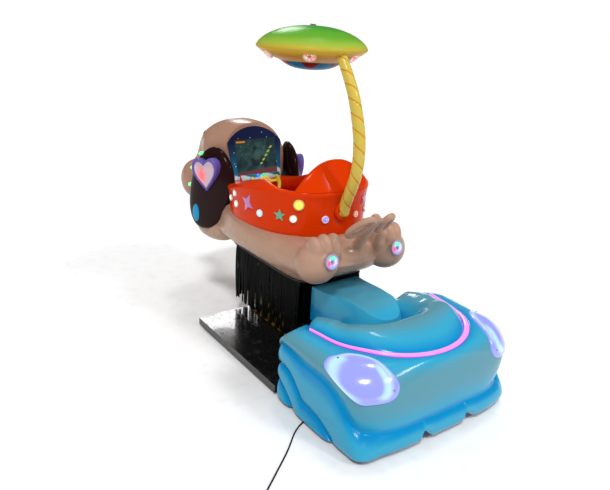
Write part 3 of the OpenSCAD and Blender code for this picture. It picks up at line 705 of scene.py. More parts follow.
def skin(name: str, rings: Sequence[Sequence[Vec]], loop: bool = True, caps: bool = True) -> Piece:
    """Mesh over a stack of equal rings.

    Args:
        name: name of the new object.
        rings: rings of points in metres.
        loop: whether each ring is closed.
        caps: whether the two end rings are filled.

    Returns:
        The new object, with its normals outwards.
    """
    count, per = len(rings), len(rings[0])
    faces = []
    for k in range(count - 1):
        a, b = k * per, (k + 1) * per
        faces += [(a + i, a + (i + 1) % per, b + (i + 1) % per, b + i)
                  for i in range(per if loop else per - 1)]
    if caps:
        faces += [tuple(reversed(range(per))), tuple(range((count - 1) * per, count * per))]
    return outward(mesh_piece(name, [p for ring in rings for p in ring], faces))


def fan(name: str, middle: Vec, ring: Sequence[Vec]) -> Piece:
    """Flat plate between a middle point and a closed ring round it."""
    count = len(ring)
    faces = [(0, k + 1, (k + 1) % count + 1) for k in range(count)]
    return mesh_piece(name, [middle, *ring], faces)


def move(obj: Piece, matrix: Matrix) -> Piece:
    """Moves a mesh's points by a matrix and leaves its object at the origin."""
    obj.data.transform(matrix)
    obj.data.update()
    return obj


def ball(middle: Vec, radii: Vec, turn: Vec = (0, 0, 0), fine: int = 32) -> Piece:
    """Makes an ellipsoid.

    Args:
        middle: its middle in millimetres.
        radii: its three radii in millimetres.
        turn: its angles in degrees.
        fine: number of its segments.

    Returns:
        The new object.
    """
    bpy.ops.object.select_all(action="DESELECT")
    bpy.ops.mesh.primitive_uv_sphere_add(
        segments=fine, ring_count=fine // 2, location=[m * MM for m in middle],
        rotation=[radians(t) for t in turn])
    obj = activate(bpy.context.active_object)
    obj.scale = [r * MM for r in radii]
    bpy.ops.object.transform_apply(location=True, rotation=True, scale=True)
    return obj


def join(name: str, parts: Sequence[Piece]) -> Piece:
    """Joins objects into one.

    Args:
        name: name of the joined object.
        parts: objects to join.

    Returns:
        The joined object.
    """
    bpy.ops.object.select_all(action="DESELECT")
    for part in parts:
        part.select_set(True)
    bpy.context.view_layer.objects.active = parts[0]
    if len(parts) > 1:
        bpy.ops.object.join()
    parts[0].name = parts[0].data.name = name
    return parts[0]


def fuse(name: str, parts: Sequence[Piece], voxel: float, rounds: int) -> Piece:
    """Melts overlapping parts into one moulded skin.

    Args:
        name: name of the new piece.
        parts: closed meshes that overlap.
        voxel: size of the skin's cells in millimetres.
        rounds: rounds of smoothing that fill the creases.

    Returns:
        The moulded piece.
    """
    obj = join(name, parts)
    modify(obj, "REMESH", mode="VOXEL", voxel_size=voxel * MM)
    modify(obj, "SMOOTH", factor=0.5, iterations=rounds)
    return outward(obj)


def stack(line: Sequence[Vec], steps: Sequence[Pair]) -> list[list[Vec]]:
    """Rings of a flat outline, by a scale and a height for each, from millimetres to metres."""
    return [[(x * s * MM, y * s * MM, h * MM) for x, y in line] for s, h in steps]


def lathe(name: str, outline: Sequence[Pair], matrix: Matrix, fine: int = 40) -> Piece:
    """Turned piece.

    Args:
        name: name of the new object.
        outline: radius and height of its points in millimetres.
        matrix: its place in metres, its axis along Z.
        fine: number of points round it.

    Returns:
        The new object.
    """
    turns = circle(fine)
    rings = [[(max(r, 0.01) * MM * cos(t), max(r, 0.01) * MM * sin(t), h * MM) for t in turns]
             for r, h in outline]
    return move(skin(name, rings), matrix)


def tube(name: str, path: Sequence[Vector], outline: Callable[[int], list[Pair]],
         up: Vec = (0, 0, 1)) -> Piece:
    """Swept piece along a path.

    Args:
        name: name of the new object.
        path: points in metres.
        outline: function of a point's number that returns its section's points in metres.
        up: direction that the section's second axis keeps to.

    Returns:
        The new object.
    """
    rings = []
    last = len(path) - 1
    for k, point in enumerate(path):
        way = (path[min(k + 1, last)] - path[max(k - 1, 0)]).normalized()
        side = way.cross(Vector(up)).normalized()
        lift = side.cross(way)
        rings.append([point + a * side + b * lift for a, b in outline(k)])
    return skin(name, rings)


def points_of(obj: Piece, kind: str = "co") -> np.ndarray:
    """A mesh's points, or its normals with kind normal, as an array."""
    data = np.empty(len(obj.data.vertices) * 3)
    obj.data.vertices.foreach_get(kind, data)
    return data.reshape(-1, 3)


def mark(obj: Piece, values: np.ndarray) -> Piece:
    """Stores one shade a point on the mesh, from 0 to 1."""
    layer = obj.data.attributes.new("shade", "FLOAT", "POINT")
    layer.data.foreach_set("value", np.clip(np.asarray(values, dtype=float), 0, 1))
    return obj


def tint(obj: Piece, colour: Rgb) -> Piece:
    """Stores one colour on a whole mesh."""
    layer = obj.data.attributes.new("tint", "FLOAT_COLOR", "POINT")
    layer.data.foreach_set("color", np.tile(linear(colour), len(obj.data.vertices)))
    return obj


def hollows(obj: Piece, rounds: int, gain: float, floor: float = 0.0) -> np.ndarray:
    """How far each point lies in a hollow, from 0 to 1.

    Args:
        obj: the mesh object.
        rounds: rounds of averaging, which set the width of the hollows that count.
        gain: share per metre of depth.
        floor: depth in metres that counts as none.

    Returns:
        One number a point.
    """
    at, normal = points_of(obj), points_of(obj, "normal")
    edges = np.empty(len(obj.data.edges) * 2, dtype=int)
    obj.data.edges.foreach_get("vertices", edges)
    a, b = edges[0::2], edges[1::2]
    count = np.bincount(edges, minlength=len(at)).astype(float)[:, None]
    soft = at.copy()
    for _ in range(rounds):
        total = np.zeros_like(soft)
        np.add.at(total, a, soft[b])
        np.add.at(total, b, soft[a])
        soft = 0.5 * soft + 0.5 * total / np.maximum(count, 1)
    return np.clip((np.einsum("ij,ij->i", soft - at, normal) - floor) * gain, 0, 1)


def facing(place: Vec, normal: Vec, roll: Vec = (0, 0, 1)) -> Matrix:
    """Matrix that sets a piece on a surface.

    Args:
        place: the piece's place in metres.
        normal: direction that its Z points in.
        roll: direction that its Y leans towards.

    Returns:
        The matrix.
    """
    z = Vector(normal).normalized()
    x = Vector(roll).cross(z).normalized()
    y = z.cross(x)
    return Matrix.Translation(place) @ Matrix((x, y, z)).transposed().to_4x4()


class Assembly:
    """Base of the sub-assemblies: fits pieces to the frame."""

    body = Body.BASE

    def fit(self, obj: Piece, finish: Finish, slot: str, *nodes: str,
            body: Union[Body, None] = None) -> Piece:
        """Gives a piece its material and body, and hides the CAD nodes that it stands for.

        Args:
            obj: the piece.
            finish: its finish.
            slot: not used.
            nodes: CAD nodes that the piece replaces.
            body: body to ride on, or None for the sub-assembly's own.

        Returns:
            The same piece.
        """
        obj.data.materials.clear()
        obj.data.materials.append(finish.material())
        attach(obj, (body or self.body).value)
        LOG.info("%s in %s", obj.name, finish.name)
        if nodes:
            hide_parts(*nodes)
        return obj

    def recoat(self, finish: Finish, *nodes: str) -> None:
        """Gives CAD nodes that stay a better material.

        Args:
            finish: their new finish.
            nodes: names of the nodes.
        """
        for node in nodes:
            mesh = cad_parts[node].data
            mesh.materials.clear()
            mesh.materials.append(finish.material())
            LOG.info("%s in %s", node, finish.name)


@dataclass
class Studio:
    """Camera at the photograph's place, soft lights and a pale floor."""

    eye: Vec = (-2.6168, 1.9337, 1.75)
    yaw: float = 36.27
    pitch: float = 20.24
    roll: float = -3.13
    lens: float = 36.195
    sun_width: float = 10
    floor_size: float = 60
    room_light: float = 0.1

    def build(self) -> None:
        """Makes the camera, the lights, the surrounding and the floor."""
        self.camera()
        suns = (("key", 138, 58, 1.5), ("fill", 206, 42, 0.8), ("back", -50, 72, 0.5),
                ("sheen", -27, 25, 0.34))
        for sun in suns:
            self.sun(*sun)
        self.surrounding()
        bpy.context.scene.view_settings.view_transform = "Standard"
        bpy.ops.mesh.primitive_plane_add(size=self.floor_size)
        floor = bpy.context.active_object
        floor.name = "studio_floor"
        paint = Paint("studio_floor_paint", (244, 244, 244), (238, 238, 238), 0.6)
        floor.data.materials.append(paint.material())

    def surrounding(self) -> None:
        """Makes a world that is white to the camera and dimmer to the object."""
        world = bpy.data.worlds.new("studio")
        world.use_nodes = True
        tree = world.node_tree
        path = tree.nodes.new("ShaderNodeLightPath").outputs
        strength = tree.nodes.new("ShaderNodeValue").outputs[0]
        strength.default_value = self.room_light
        for ray, share in (("Is Camera Ray", 0.9), ("Is Diffuse Ray", 0.4)):
            level = tree.nodes.new("ShaderNodeMath")
            level.operation = "MULTIPLY_ADD"
            level.inputs[1].default_value = share
            tree.links.new(path[ray], level.inputs[0])
            tree.links.new(strength, level.inputs[2])
            strength = level.outputs[0]
        tree.links.new(strength, tree.nodes["Background"].inputs["Strength"])
        tree.nodes["Background"].inputs["Color"].default_value = (1, 1, 1, 1)
        bpy.context.scene.world = world

    def camera(self) -> None:
        """Makes the camera from the solved angles."""
        yaw, pitch, roll = (radians(a) for a in (self.yaw, self.pitch, self.roll))
        ahead = Vector((cos(yaw), -sin(yaw), 0))
        right = Vector((-sin(yaw), -cos(yaw), 0))
        up = Vector((0, 0, 1))
        look = ahead * cos(pitch) - up * sin(pitch)
        down = -ahead * sin(pitch) - up * cos(pitch)
        x = right * cos(roll) + down * sin(roll)
        y = down * cos(roll) - right * sin(roll)
        data = bpy.data.cameras.new("photo_camera")
        data.lens, data.sensor_width, data.sensor_fit = self.lens, 36.0, "HORIZONTAL"
        obj = new_object("photo_camera", data)
        turn = Matrix((x, -y, -look)).transposed().to_4x4()
        obj.matrix_world = Matrix.Translation(self.eye) @ turn
        bpy.context.scene.camera = obj

    def sun(self, name: str, azimuth: float, height: float, strength: float) -> None:
        """Makes one soft sun.

        Args:
            name: name of the light.
            azimuth: direction that it shines from, in degrees from X.
            height: its height in degrees.
            strength: its strength.
        """
        data = bpy.data.lights.new(name, "SUN")
        data.energy, data.angle = strength, radians(self.sun_width)
        obj = new_object(name, data)
        a, h = radians(azimuth), radians(height)
        source = Vector((cos(a) * cos(h), sin(a) * cos(h), sin(h)))
        obj.matrix_world = (-source).to_track_quat("-Z", "Y").to_matrix().to_4x4()


@dataclass
class MainsLead(Assembly):
    """Mains lead: gland, free stretch, stored coil and plug."""

    diameter: float = 7.0
    exit: Vec = (-718, 440, 0)
    turns: float = 10 / 3
    gland_long: float = 40
    gland_z: float = 26
    plug_reach: float = 48

    def stretch(self) -> list[Vector]:
        """Lays out the free stretch.

        Returns:
            Its points in millimetres.
        """
        low = self.diameter / 2
        steps = [(0, 0, self.gland_z), (0, 15, 25), (-1, 30, 20), (-3, 45, 12), (-7, 60, 6), (-13, 78, low),
                 (-24, 100, low), (-40, 124, low), (-60, 150, low), (-84, 176, low), (-110, 204, low),
                 (-136, 234, low), (-162, 266, low), (-188, 300, low), (-214, 334, low), (-240, 368, low),
                 (-266, 402, low), (-294, 439, low), (-326, 482, low)]
        return [Vector(self.exit) + Vector(s) for s in steps]

    def coil(self, end: Vector, way: Vector) -> list[Vector]:
        """Points of the coil from the stretch's end to the plug, in millimetres.

        Args:
            end: the stretch's last point.
            way: direction in which the lead arrives there.

        Returns:
            Points of a layer that winds in, one that winds out over it and the way into the plug.
        """
        side = Vector((-way.y, way.x, 0))
        pitch, layer, inner = self.diameter + 1.8, self.diameter + 0.8, 4 * self.diameter
        outer = inner + self.turns * pitch
        middle = end + self.diameter * way + outer * side
        span = 360 * self.turns
        last = 2 * span + 180

        def at(a: float) -> Vector:
            """Point of the coil.

            Args:
                a: angle in degrees from the coil's start.

            Returns:
                The point in millimetres.
            """
            r = outer - pitch * a / 360 if a < span else inner
            r = inner + pitch * (a - span - 180) / 360 if a > span + 180 else r
            t = radians(a)
            rise = Vector((0, 0, layer * ramp(a, span, span + 180)))
            return middle + r * (sin(t) * way - cos(t) * side) + rise

        steps = ceil(last * 36 / 360)
        self.leave = (at(last) - at(last - 4)).normalized()
        points = [at(last * k / steps) for k in range(steps + 1)]
        return points + [points[-1] + self.diameter * self.leave, points[-1] + self.plug_reach * self.leave]

    def build(self) -> None:
        """Makes the lead, its gland and its plug."""
        free = self.stretch()
        way = (free[-1] - free[-2]).normalized()
        path = [p * MM for p in smooth_path(free, 4)[:-1] + [free[-1]] + self.coil(free[-1], way)]
        curve = bpy.data.curves.new("mains_lead", "CURVE")
        curve.dimensions = "3D"
        curve.bevel_depth, curve.bevel_resolution = self.diameter * MM / 2, 4
        spline = curve.splines.new("POLY")
        spline.points.add(len(path) - 1)
        for point, place in zip(spline.points, path):
            point.co = (*place, 1)
        lead = new_object("mains_lead", curve)
        self.fit(lead, RUBBER, "rubber_black", "cord", "cord_coil")
        plug = self.plug(path[-1])
        self.gland()
        self.recoat(TIE, "coil_tie")

    def plug(self, end: Vector) -> Piece:
        """Makes the plug: a waisted grip, a flange and two pins.

        Args:
            end: the lead's last point in metres.

        Returns:
            The plug.
        """
        lay = facing((end.x, end.y, end.z), self.leave)
        levels = [(-2, 5, 5), (0, 7, 6), (8, 9, 8), (16, 12, 9.4), (24, 12.5, 9.8), (30, 16.4, 10.6),
                  (33, 17, 11), (45, 17, 11), (46, 15.6, 9.8)]
        rings = [[(x * MM, y * MM, along * MM) for x, y in oval(half, thick, 4.5, 24)]
                 for along, half, thick in levels]
        parts = [move(skin("plug_body", rings), lay)]
        for y in (-10, 10):
            pin = lathe("pin", [(0.5, 40), (2.4, 40), (2.4, 63), (1.6, 65), (0.5, 65)],
                        lay @ Matrix.Translation((y * MM, 0, 0)), 16)
            parts.append(pin)
        return self.fit(join("mains_plug", parts), BLACK, "black_gloss", "plug")

    def gland(self) -> None:
        """Makes the gland: a round nut and a ribbed strain relief that tapers."""
        place = Vector((self.exit[0], self.exit[1] - self.gland_long, self.gland_z)) * MM
        outline = [(2, 0), (11, 0), (11, 8), (9.6, 10)]
        for k in range(6):
            r = mix(9.0, 5.4, k / 5)
            outline += [(r, 11 + 5 * k), (r, 14 + 5 * k), (r - 1.6, 14.6 + 5 * k), (r - 1.6, 15.6 + 5 * k)]
        outline += [(3.6, self.gland_long)]
        piece = lathe("lead_gland", outline, facing(place, (0, 1, 0)), 24)
        self.fit(piece, RUBBER, "rubber_black", "cord_gland")


@dataclass
class TailFairing(Assembly):
    """Blue moulded tail: U-shaped hood with rolls, skirt, hump block, strip and headlights.

    A station t runs from 1 at the left arm's end round the bumper to -1 at the right one's.
    """

    tail_x: float = -1130
    hood_x: float = -700
    arm_end: float = -476
    half: float = 505
    hood_z: float = 418
    valley_z: float = 322
    skirt_z: float = 18
    block_rear: float = -270
    nose_x: float = -588
    block_half: float = 151
    block_top: float = 434
    groove_r: float = 371
    groove_open: float = 26
    open_from: float = -890
    open_to: float = -610
    crease_z: float = 125
    crease_rise: float = 175
    notch_z: float = 62
    skirt_flare: float = 7.7
    hood_power: float = 1.95
    arm_share: float = 1 / 3
    roll_foot: float = 120
    lens_middle: Pair = (0.385, 40)

    def arm(self, t: float) -> float:
        """How far along an arm a station is."""
        return max(0.0, (abs(t) - (1 - self.arm_share)) / self.arm_share)

    def bend(self, t: float) -> float:
        """Angle round the U's bend, in radians."""
        return pi / 2 * min(1.0, abs(t) / (1 - self.arm_share))

    def outer(self, t: float) -> Vector:
        """Outer plan line.

        Args:
            t: station.

        Returns:
            X and Y in millimetres.
        """
        m, a = self.arm(t), self.bend(t)
        length = self.hood_x - self.tail_x - self.skirt_flare
        x = mix(self.hood_x, self.arm_end, m) if m > 0 else self.hood_x - length * bent(cos(a), 0.4)
        y = self.half if m > 0 else self.half * bent(sin(a), 0.4)
        return Vector((x, copysign(y, t)))

    def inner(self, t: float) -> Vector:
        """Inner plan line, along the hump block's foot.

        Args:
            t: station.

        Returns:
            X and Y in millimetres.
        """
        m, a, r = self.arm(t), self.bend(t), self.block_half
        if m > 0:
            return Vector((mix(self.nose_x, self.arm_end, m), copysign(r, t)))
        return Vector((self.nose_x - r * cos(a), copysign(r * sin(a), t)))

    def side(self, t: float) -> float:
        """0 at the bumper, 1 along the arms."""
        return sin(self.bend(t)) ** 2

    def crease(self, t: float) -> float:
        """Height of the crease under the hood."""
        return self.crease_z + self.crease_rise * ramp(abs(t), 0.33, 0.66) + 25 * self.arm(t)

    def height(self, t: float) -> float:
        """Height of the hood's top, a little lower along the arms."""
        return self.hood_z - 4 - 14 * ramp(abs(t), 0.3, 0.75) - 26 * ramp(self.arm(t), 0.2, 1.0)

    def groove(self, t: float) -> float:
        """Where the lit strip lies: round the bend, then opening out along the arms.

        Args:
            t: station.

        Returns:
            Share of the plan span, from 0 at the inner line to 1 at the outer one.
        """
        o, i = self.outer(t), self.inner(t)
        low, high = 0.1, 0.97
        for _ in range(22):
            k = (low + high) / 2
            x, y = i + (o - i) * k
            u = max(0.0, (x - self.open_from) / (self.open_to - self.open_from))
            open_by = self.groove_open * u ** 1.6
            if u >= 1:
                open_by = self.groove_open - 120 * ((x - self.open_to) / 140) ** 2
            inside = hypot(min(x - self.hood_x, 0), y) < self.groove_r + open_by
            low, high = (k, high) if inside else (low, k)
        return low

    def roll_share(self, t: float, z: float) -> float:
        """How far up its side roll a height lies.

        Args:
            t: station.
            z: height in millimetres.

        Returns:
            Share from 0 to 1, or 2 above the last roll.
        """
        lines = self.roll_lines(t)
        lines = (lines[0] - self.roll_foot, *lines)
        for low, high in zip(lines, lines[1:]):
            if z <= high:
                return (z - low) / (high - low)
        return 2.0

    def roll(self, t: float, z: float) -> float:
        """How far the side rolls bulge at a height, from 0 in a crease to 1 on a ridge."""
        return max(0.0, 1 - (2 * self.roll_share(t, z) - 1) ** 2) ** 0.5

    def painted_shade(self, t: float, z: float) -> float:
        """Depth of the painted shade on the side rolls, deepest at their creases."""
        u = self.roll_share(t, z)
        return max(0.42 + 0.58 * ramp(u, 0.5, 0.92), 0.8 * ramp(u, 0.16, 0.0))

    def roll_lines(self, t: float) -> tuple[float, float, float]:
        """Heights of the creases between the side rolls, which run down towards the bumper."""
        first = mix(-60, 110, ramp(abs(t), 0.6, 0.98))
        second = mix(-40, 205, ramp(abs(t), 0.42, 0.9))
        return first, second, self.crease(t)

    def hood_point(self, t: float, up: float) -> Pair:
        """Point of the hood's rounded section.

        Args:
            t: station.
            up: angle in degrees, from 0 at the widest point to 90 on top.

        Returns:
            Share of the plan span and height.
        """
        e, top = self.groove(t) + 0.05, self.height(t)
        z = mix(self.crease(t), top, 0.45)
        c, s = cos(radians(up)), sin(radians(up))
        power = 2 / self.hood_power
        return e + (1 - e) * max(c, 0) ** power, z + (top - z) * max(s, 0) ** power

    def placed(self, t: float, point: Sequence[float]) -> Vector:
        """Takes a section's point to the object's frame.

        Args:
            t: station.
            point: share of the plan span and height.

        Returns:
            The point in millimetres.
        """
        o, i = self.outer(t), self.inner(t)
        xy = i + (o - i) * point[0]
        return Vector((xy.x, xy.y, point[1]))

    def notch(self, t: float) -> float:
        """How much the skirt's lower edge is cut away.

        Args:
            t: station.

        Returns:
            Height of the cut in millimetres.
        """
        y = self.outer(t).y
        cuts = [self.notch_z * ramp(y, edge + 5, edge) * max(0.0, 1 - (edge - y) / long)
                for edge, long in ((141, 72), (-126, 92)) if y < edge + 5]
        return max([0.0, *cuts]) if abs(t) < 0.36 else 0.0

    def section(self, t: float) -> list[tuple[float, float, float]]:
        """The fairing's section at a station, from the skirt's edge to the valley.

        Args:
            t: station.

        Returns:
            Share of the plan span, height and depth of the painted shade of each point: deep in the creases,
            the groove and the valley, light on the hood and the ring's crest.
        """
        f, crease = ramp(abs(t), 0.36, 0.62), self.crease(t)
        corner = ramp(abs(t), 0.15, 0.33) * (1 - ramp(abs(t), 0.36, 0.55))
        lip = mix(0.975, 0.935, ramp(abs(t), 0.05, 0.36))
        low = self.skirt_z + self.notch(t)
        levels = [low]
        for k, line in enumerate(self.roll_lines(t)):
            levels.append(max(line, low + 0.4 * (k + 1)))
        points = []
        for z0, z1 in zip(levels, levels[1:]):
            for k in range(12):
                z = mix(z0, z1, k / 12)
                w, bulge = (z - low) / (crease - low), self.roll(t, z)
                flare = 1.02 + (0.07 if t > 0 else 0.025) * corner * (1 - w) - (1.02 - lip) * w ** 2.5
                flare += 0.03 * sin(pi * w) - 0.03 * (1 - ramp(w, 0, 0.14))
                # Painted shade: deep at the crease under the hood, lighter down the skirt and on the rolls'
                # ridges.
                shade = mix(0.48 + 0.52 * ramp(w, 0.45, 0.95), self.painted_shade(t, z), f)
                points.append((mix(flare, 0.93 + 0.075 * bulge, f), z, shade))
        widest = self.hood_point(t, 0)[1]
        points += [(lip, crease, 0.95), (mix(lip, 1, 0.4), mix(crease, widest, 0.2), 0.5),
                   (mix(lip, 1, 0.8), mix(crease, widest, 0.55), 0.25)]
        # Painted light on the hood: light round its widest point, deeper shade towards the groove.
        tones = {0: 0.12, 8: 0.08, 18: 0.05, 28: 0.05, 38: 0.1, 48: 0.2, 58: 0.34, 68: 0.5, 78: 0.64, 90: 0.8}
        points += [(*self.hood_point(t, up), shade) for up, shade in tones.items()]
        s, z = self.groove(t), self.height(t)
        points += [(s + 0.034, z, 1), (s + 0.026, z - 7, 1), (s, z - 9, 1), (s - 0.026, z - 6, 1),
                   (s - 0.034, z + 4, 1)]
        top = z + mix(56, 24, ramp(abs(t), 0.45, 0.8))
        crest, foot = mix(0.31, 0.4, self.side(t)), mix(0.07, 0.1, self.side(t))
        edge = s - 0.034
        # Painted light on the ring: light at its crest, shade down into the groove and the valley.
        ring = [(edge, z + 4, 0.95), (mix(edge, crest, 0.45), mix(z + 6, top, 0.72), 0.4), (crest, top, 0.04),
                (mix(crest, foot, 0.55), top - 26, 0.2), (foot, self.valley_z + 42, 0.6),
                (foot * 0.5, self.valley_z + 10, 0.9), (0.0, self.valley_z, 1)]
        curve = smooth_path([(a, b / 1000, c) for a, b, c in ring], 5)
        return points + [(p.x, p.y * 1000, p.z) for p in curve[1:]]

    def stations(self, count: int) -> list[float]:
        """Stations an equal way apart along the outer plan line.

        Args:
            count: number of stations.

        Returns:
            The stations, from the left arm's end to the right one's.
        """
        fine = np.linspace(1, -1, 3001)
        line = np.array([self.outer(t) for t in fine])
        run = np.concatenate([[0], np.cumsum(np.linalg.norm(np.diff(line, axis=0), axis=1))])
        return list(np.interp(np.linspace(0, run[-1], count), run, fine))

    def build(self) -> None:
        """Makes the hood, block, strip and headlights."""
        shell = join("tail_fairing", [self.hood(), self.block()])
        self.fit(shell, BLUE, "blue_moulding", "fairing_shell", "fairing_ends", "hump_block")
        self.strip()
        for side, node in ((Side.LEFT, "headlight_lens_left"), (Side.RIGHT, "headlight_lens_right")):
            self.headlight(side, node)

    def hood(self) -> Piece:
        """Makes the U-shaped hood with rounded, closed ends to its arms.

        Returns:
            The hood.
        """
        rings, shades = [], []
        round_r, shoulder = 70.0, 150.0
        for t in self.stations(231):
            points = self.section(t)
            into = max(0.0, self.outer(t).x - (self.arm_end - round_r)) if abs(t) > 0.7 else 0.0
            f = sqrt(max(1 - (into / round_r) ** 2, 0))
            ring = []
            for share, z, shade in points:
                z = shoulder + (z - shoulder) * mix(0.6, 1, f) if z > shoulder else z
                ring.append(self.placed(t, (mix(0.55, share, mix(0.82, 1, f)), z)) * MM)
                shades.append(shade)
            rings.append(ring)
        hood = mark(skin("hood", rings, loop=False, caps=False), shades)
        ends = []
        for ring in (rings[0], rings[-1]):
            foot = Vector((ring[-1].x, ring[-1].y, ring[0].z))
            middle = Vector((ring[0].x, copysign(0.33, ring[0].y), 0.16))
            ends.append(mark(fan("arm_end", middle, [*ring, foot]), np.full(len(ring) + 2, 0.6)))
        obj = join("hood", [hood, *ends])
        modify(obj, "WELD", merge_threshold=1e-6)
        return outward(modify(obj, "SUBSURF", levels=1))

    def top_at(self, x: float) -> float:
        """Height of the hump block's top, which falls towards its nose."""
        return self.block_top + 18 * ramp(-x, 300, 560) - 42 * ramp(-x, 590, 745)

    def block(self) -> Piece:
        """Makes the hump block: flat faces behind, tapering to a hull-shaped nose.

        Returns:
            The block.
        """
        quarter = [pi / 2 * k / 14 for k in range(1, 15)]
        half, slim, neck, nose = self.block_half, 122, -556, 178
        foot = [(mix(self.block_rear, self.nose_x, k / 16), half) for k in range(17)]
        foot += [(self.nose_x - half * sin(a), half * cos(a)) for a in quarter]
        edge = [(mix(self.block_rear, neck, k / 16), mix(half, slim, (k / 16) ** 1.4)) for k in range(17)]
        edge += [(neck - nose * sin(a), slim * cos(a)) for a in quarter]
        foot, edge = (line + [(x, -y) for x, y in reversed(line[:-1])] for line in (foot, edge))
        # The last number of each level is the depth of painted shade: full at the foot in the valley, lighter
        # up the face.
        levels = [(-0.08, -0.7, 1.0), (-0.08, 0.0, 0.9), (0.0, 0.1, 0.7), (0.1, 0.26, 0.58),
                  (0.26, 0.46, 0.52), (0.48, 0.68, 0.48), (0.74, 0.87, 0.45), (0.9, 0.955, 0.44),
                  (0.97, 0.985, 0.4)]
        rings, shades = [], []
        for share, up, shade in levels:
            ring = [mix(Vector(a), Vector(b), share) for a, b in zip(foot, edge)]
            rings.append([(p.x * MM, p.y * MM, mix(self.valley_z, self.top_at(p.x), up) * MM) for p in ring])
            shades += [shade] * len(ring)
        # Painted shade on the top: light over the flat top, deeper towards the nose.
        lids = [(1.0, 0.4), (0.985, 0.34), (0.94, 0.3), (0.8, 0.26), (0.5, 0.24), (0.2, 0.24), (0.02, 0.24)]
        for share, shade in lids:
            ring = []
            for x, y in edge:
                x = neck + (x - neck) * share if x < neck else min(x, self.block_rear - 3)
                ring.append((x * MM, y * share * MM, self.top_at(x) * MM))
                shades.append(max(shade, 0.6 * ramp(-x, 610, 700)))
            rings.append(ring)
        return crisp(mark(skin("block", rings), shades), 0.6)

    def strip(self) -> None:
        """Makes the lit strip, wider at the bumper than at the arms' ends."""
        rings, turns = [], circle(10)
        for t in (t for t in self.stations(241) if self.placed(t, (self.groove(t), 0)).x < self.nose_x):
            middle = self.placed(t, (self.groove(t), self.height(t) + 1))
            across = (self.outer(t) - self.inner(t)).normalized()
            wide = mix(12.5, 4.5, ramp(abs(t), 0.1, 0.85))
            ring = []
            for a in turns:
                off = across * wide * cos(a)
                ring.append((middle + Vector((off.x, off.y, 7 * sin(a)))) * MM)
            rings.append(ring)
        obj = skin("lit_strip", rings)
        mark(obj, np.tile([1 + sin(a) for a in turns], len(rings)) / 2)
        self.fit(obj, STRIP_LIGHT, "pink_light", "light_strip")

    def lens_edge(self, turn: float) -> Pair:
        """The headlight's outline on the hood.

        Args:
            turn: angle round the lens in radians.

        Returns:
            Station and section angle in degrees.
        """
        edge = [(0.628, 48), (0.592, 66), (0.522, 79), (0.38, 82), (0.251, 74), (0.156, 51), (0.126, 30),
                (0.162, 14), (0.295, 10), (0.458, 5), (0.576, 3), (0.627, 17)]
        place = (turn / (2 * pi) % 1) * len(edge)
        k, w = int(place), place % 1
        at = curve_point([Vector(edge[(k + n) % len(edge)]) for n in (-1, 0, 1, 2)], w)
        return at.x, max(at.y, 0.0)

    def lens_point(self, side: Side, reach: float, turn: float, lift: float) -> Vector:
        """Point over the hood within the headlight's almond outline.

        Args:
            side: side of the machine.
            reach: share of the way from the lens's middle to its edge.
            turn: angle round the lens in radians.
            lift: height over the hood in millimetres.

        Returns:
            The point in millimetres.
        """
        t, up = (mix(m, e, reach) for m, e in zip(self.lens_middle, self.lens_edge(turn)))
        point = self.placed(t, self.hood_point(t, max(up, 0)))
        out = (self.outer(t) - self.inner(t)).normalized()
        c, s = cos(radians(up)), sin(radians(up))
        point += lift * Vector((out.x * c, out.y * c, s))
        return Vector((point.x, side.value * point.y, point.z))

    def headlight(self, side: Side, node: str) -> None:
        """Makes one headlight: a domed lens that glows along its edge, and two screws.

        Args:
            side: side of the machine.
            node: CAD node that the lens replaces.
        """
        layers = [(1.0, -4), (1.02, 2), (1.0, 6), (0.97, 8.5), (0.92, 10.5), (0.86, 12), (0.8, 13.2),
                  (0.74, 14.2), (0.68, 15), (0.6, 16), (0.5, 17), (0.3, 18.5), (0.1, 19)]
        rings, shade = [], []
        for reach, lift in layers:
            ring = []
            for turn in circle(72):
                ring.append(self.lens_point(side, reach, turn, lift) * MM)
                left = ramp(reach, 0.62, 0.84) * ramp(cos(turn + 0.5), 0.1, 0.6) * ramp(reach, 1.0, 0.93)
                top = 0.85 * ramp(reach, 0.82, 0.92) * ramp(sin(turn), 0.2, 0.6) * ramp(reach, 1.0, 0.94)
                right = ramp(reach, 0.6, 0.72) * ramp(reach, 0.92, 0.8)
                right *= ramp(cos(turn + 0.2), -0.5, -0.85)
                shade.append(max(left, top, right))
            rings.append(ring)
        obj = mark(skin(f"headlight_{side.name.lower()}", rings), shade)
        self.fit(obj, HEADLIGHT, "lens_clear", node)
        for turn in (0.35, pi + 0.1):
            at = self.lens_point(side, 0.9, turn, 10.4) * MM
            up = (self.lens_point(side, 0.9, turn, 20.4) * MM - at).normalized()
            screw = lathe("screw", [(0.5, -2), (5, -2), (5, 1), (4, 2.4), (1.6, 3), (1.4, 1.4), (0.3, 1.4)],
                          facing(at, up, (1, 0, 0)), 16)
            screw.name = f"lens_screw_{side.name.lower()}_{'rear' if turn < 1 else 'front'}"
            self.fit(screw, STEEL, "bright_steel")


@dataclass
class DriveAndDeck(Assembly):
    """Deck, frame and drive: CAD solids with finished materials."""

    def build(self) -> None:
        """Coats the nodes that stay as they are."""
        self.recoat(CHEQUER, "deck_plate")
        self.recoat(FRAME_GREY, "base_frame", "ride_frame", "pulley_rear", "pulley_front")
        self.recoat(RUBBER, "levelling_feet", "drive_belt")
        self.recoat(HAZARD, "drive_frame")
        self.recoat(STEEL, "crank_bearings", "crankshaft_rear", "crankshaft_front", "power_supply")
        self.recoat(CAST, "gearbox")
        self.recoat(MOTOR, "motor")
        self.recoat(BOX, "control_box", "motor_fan")


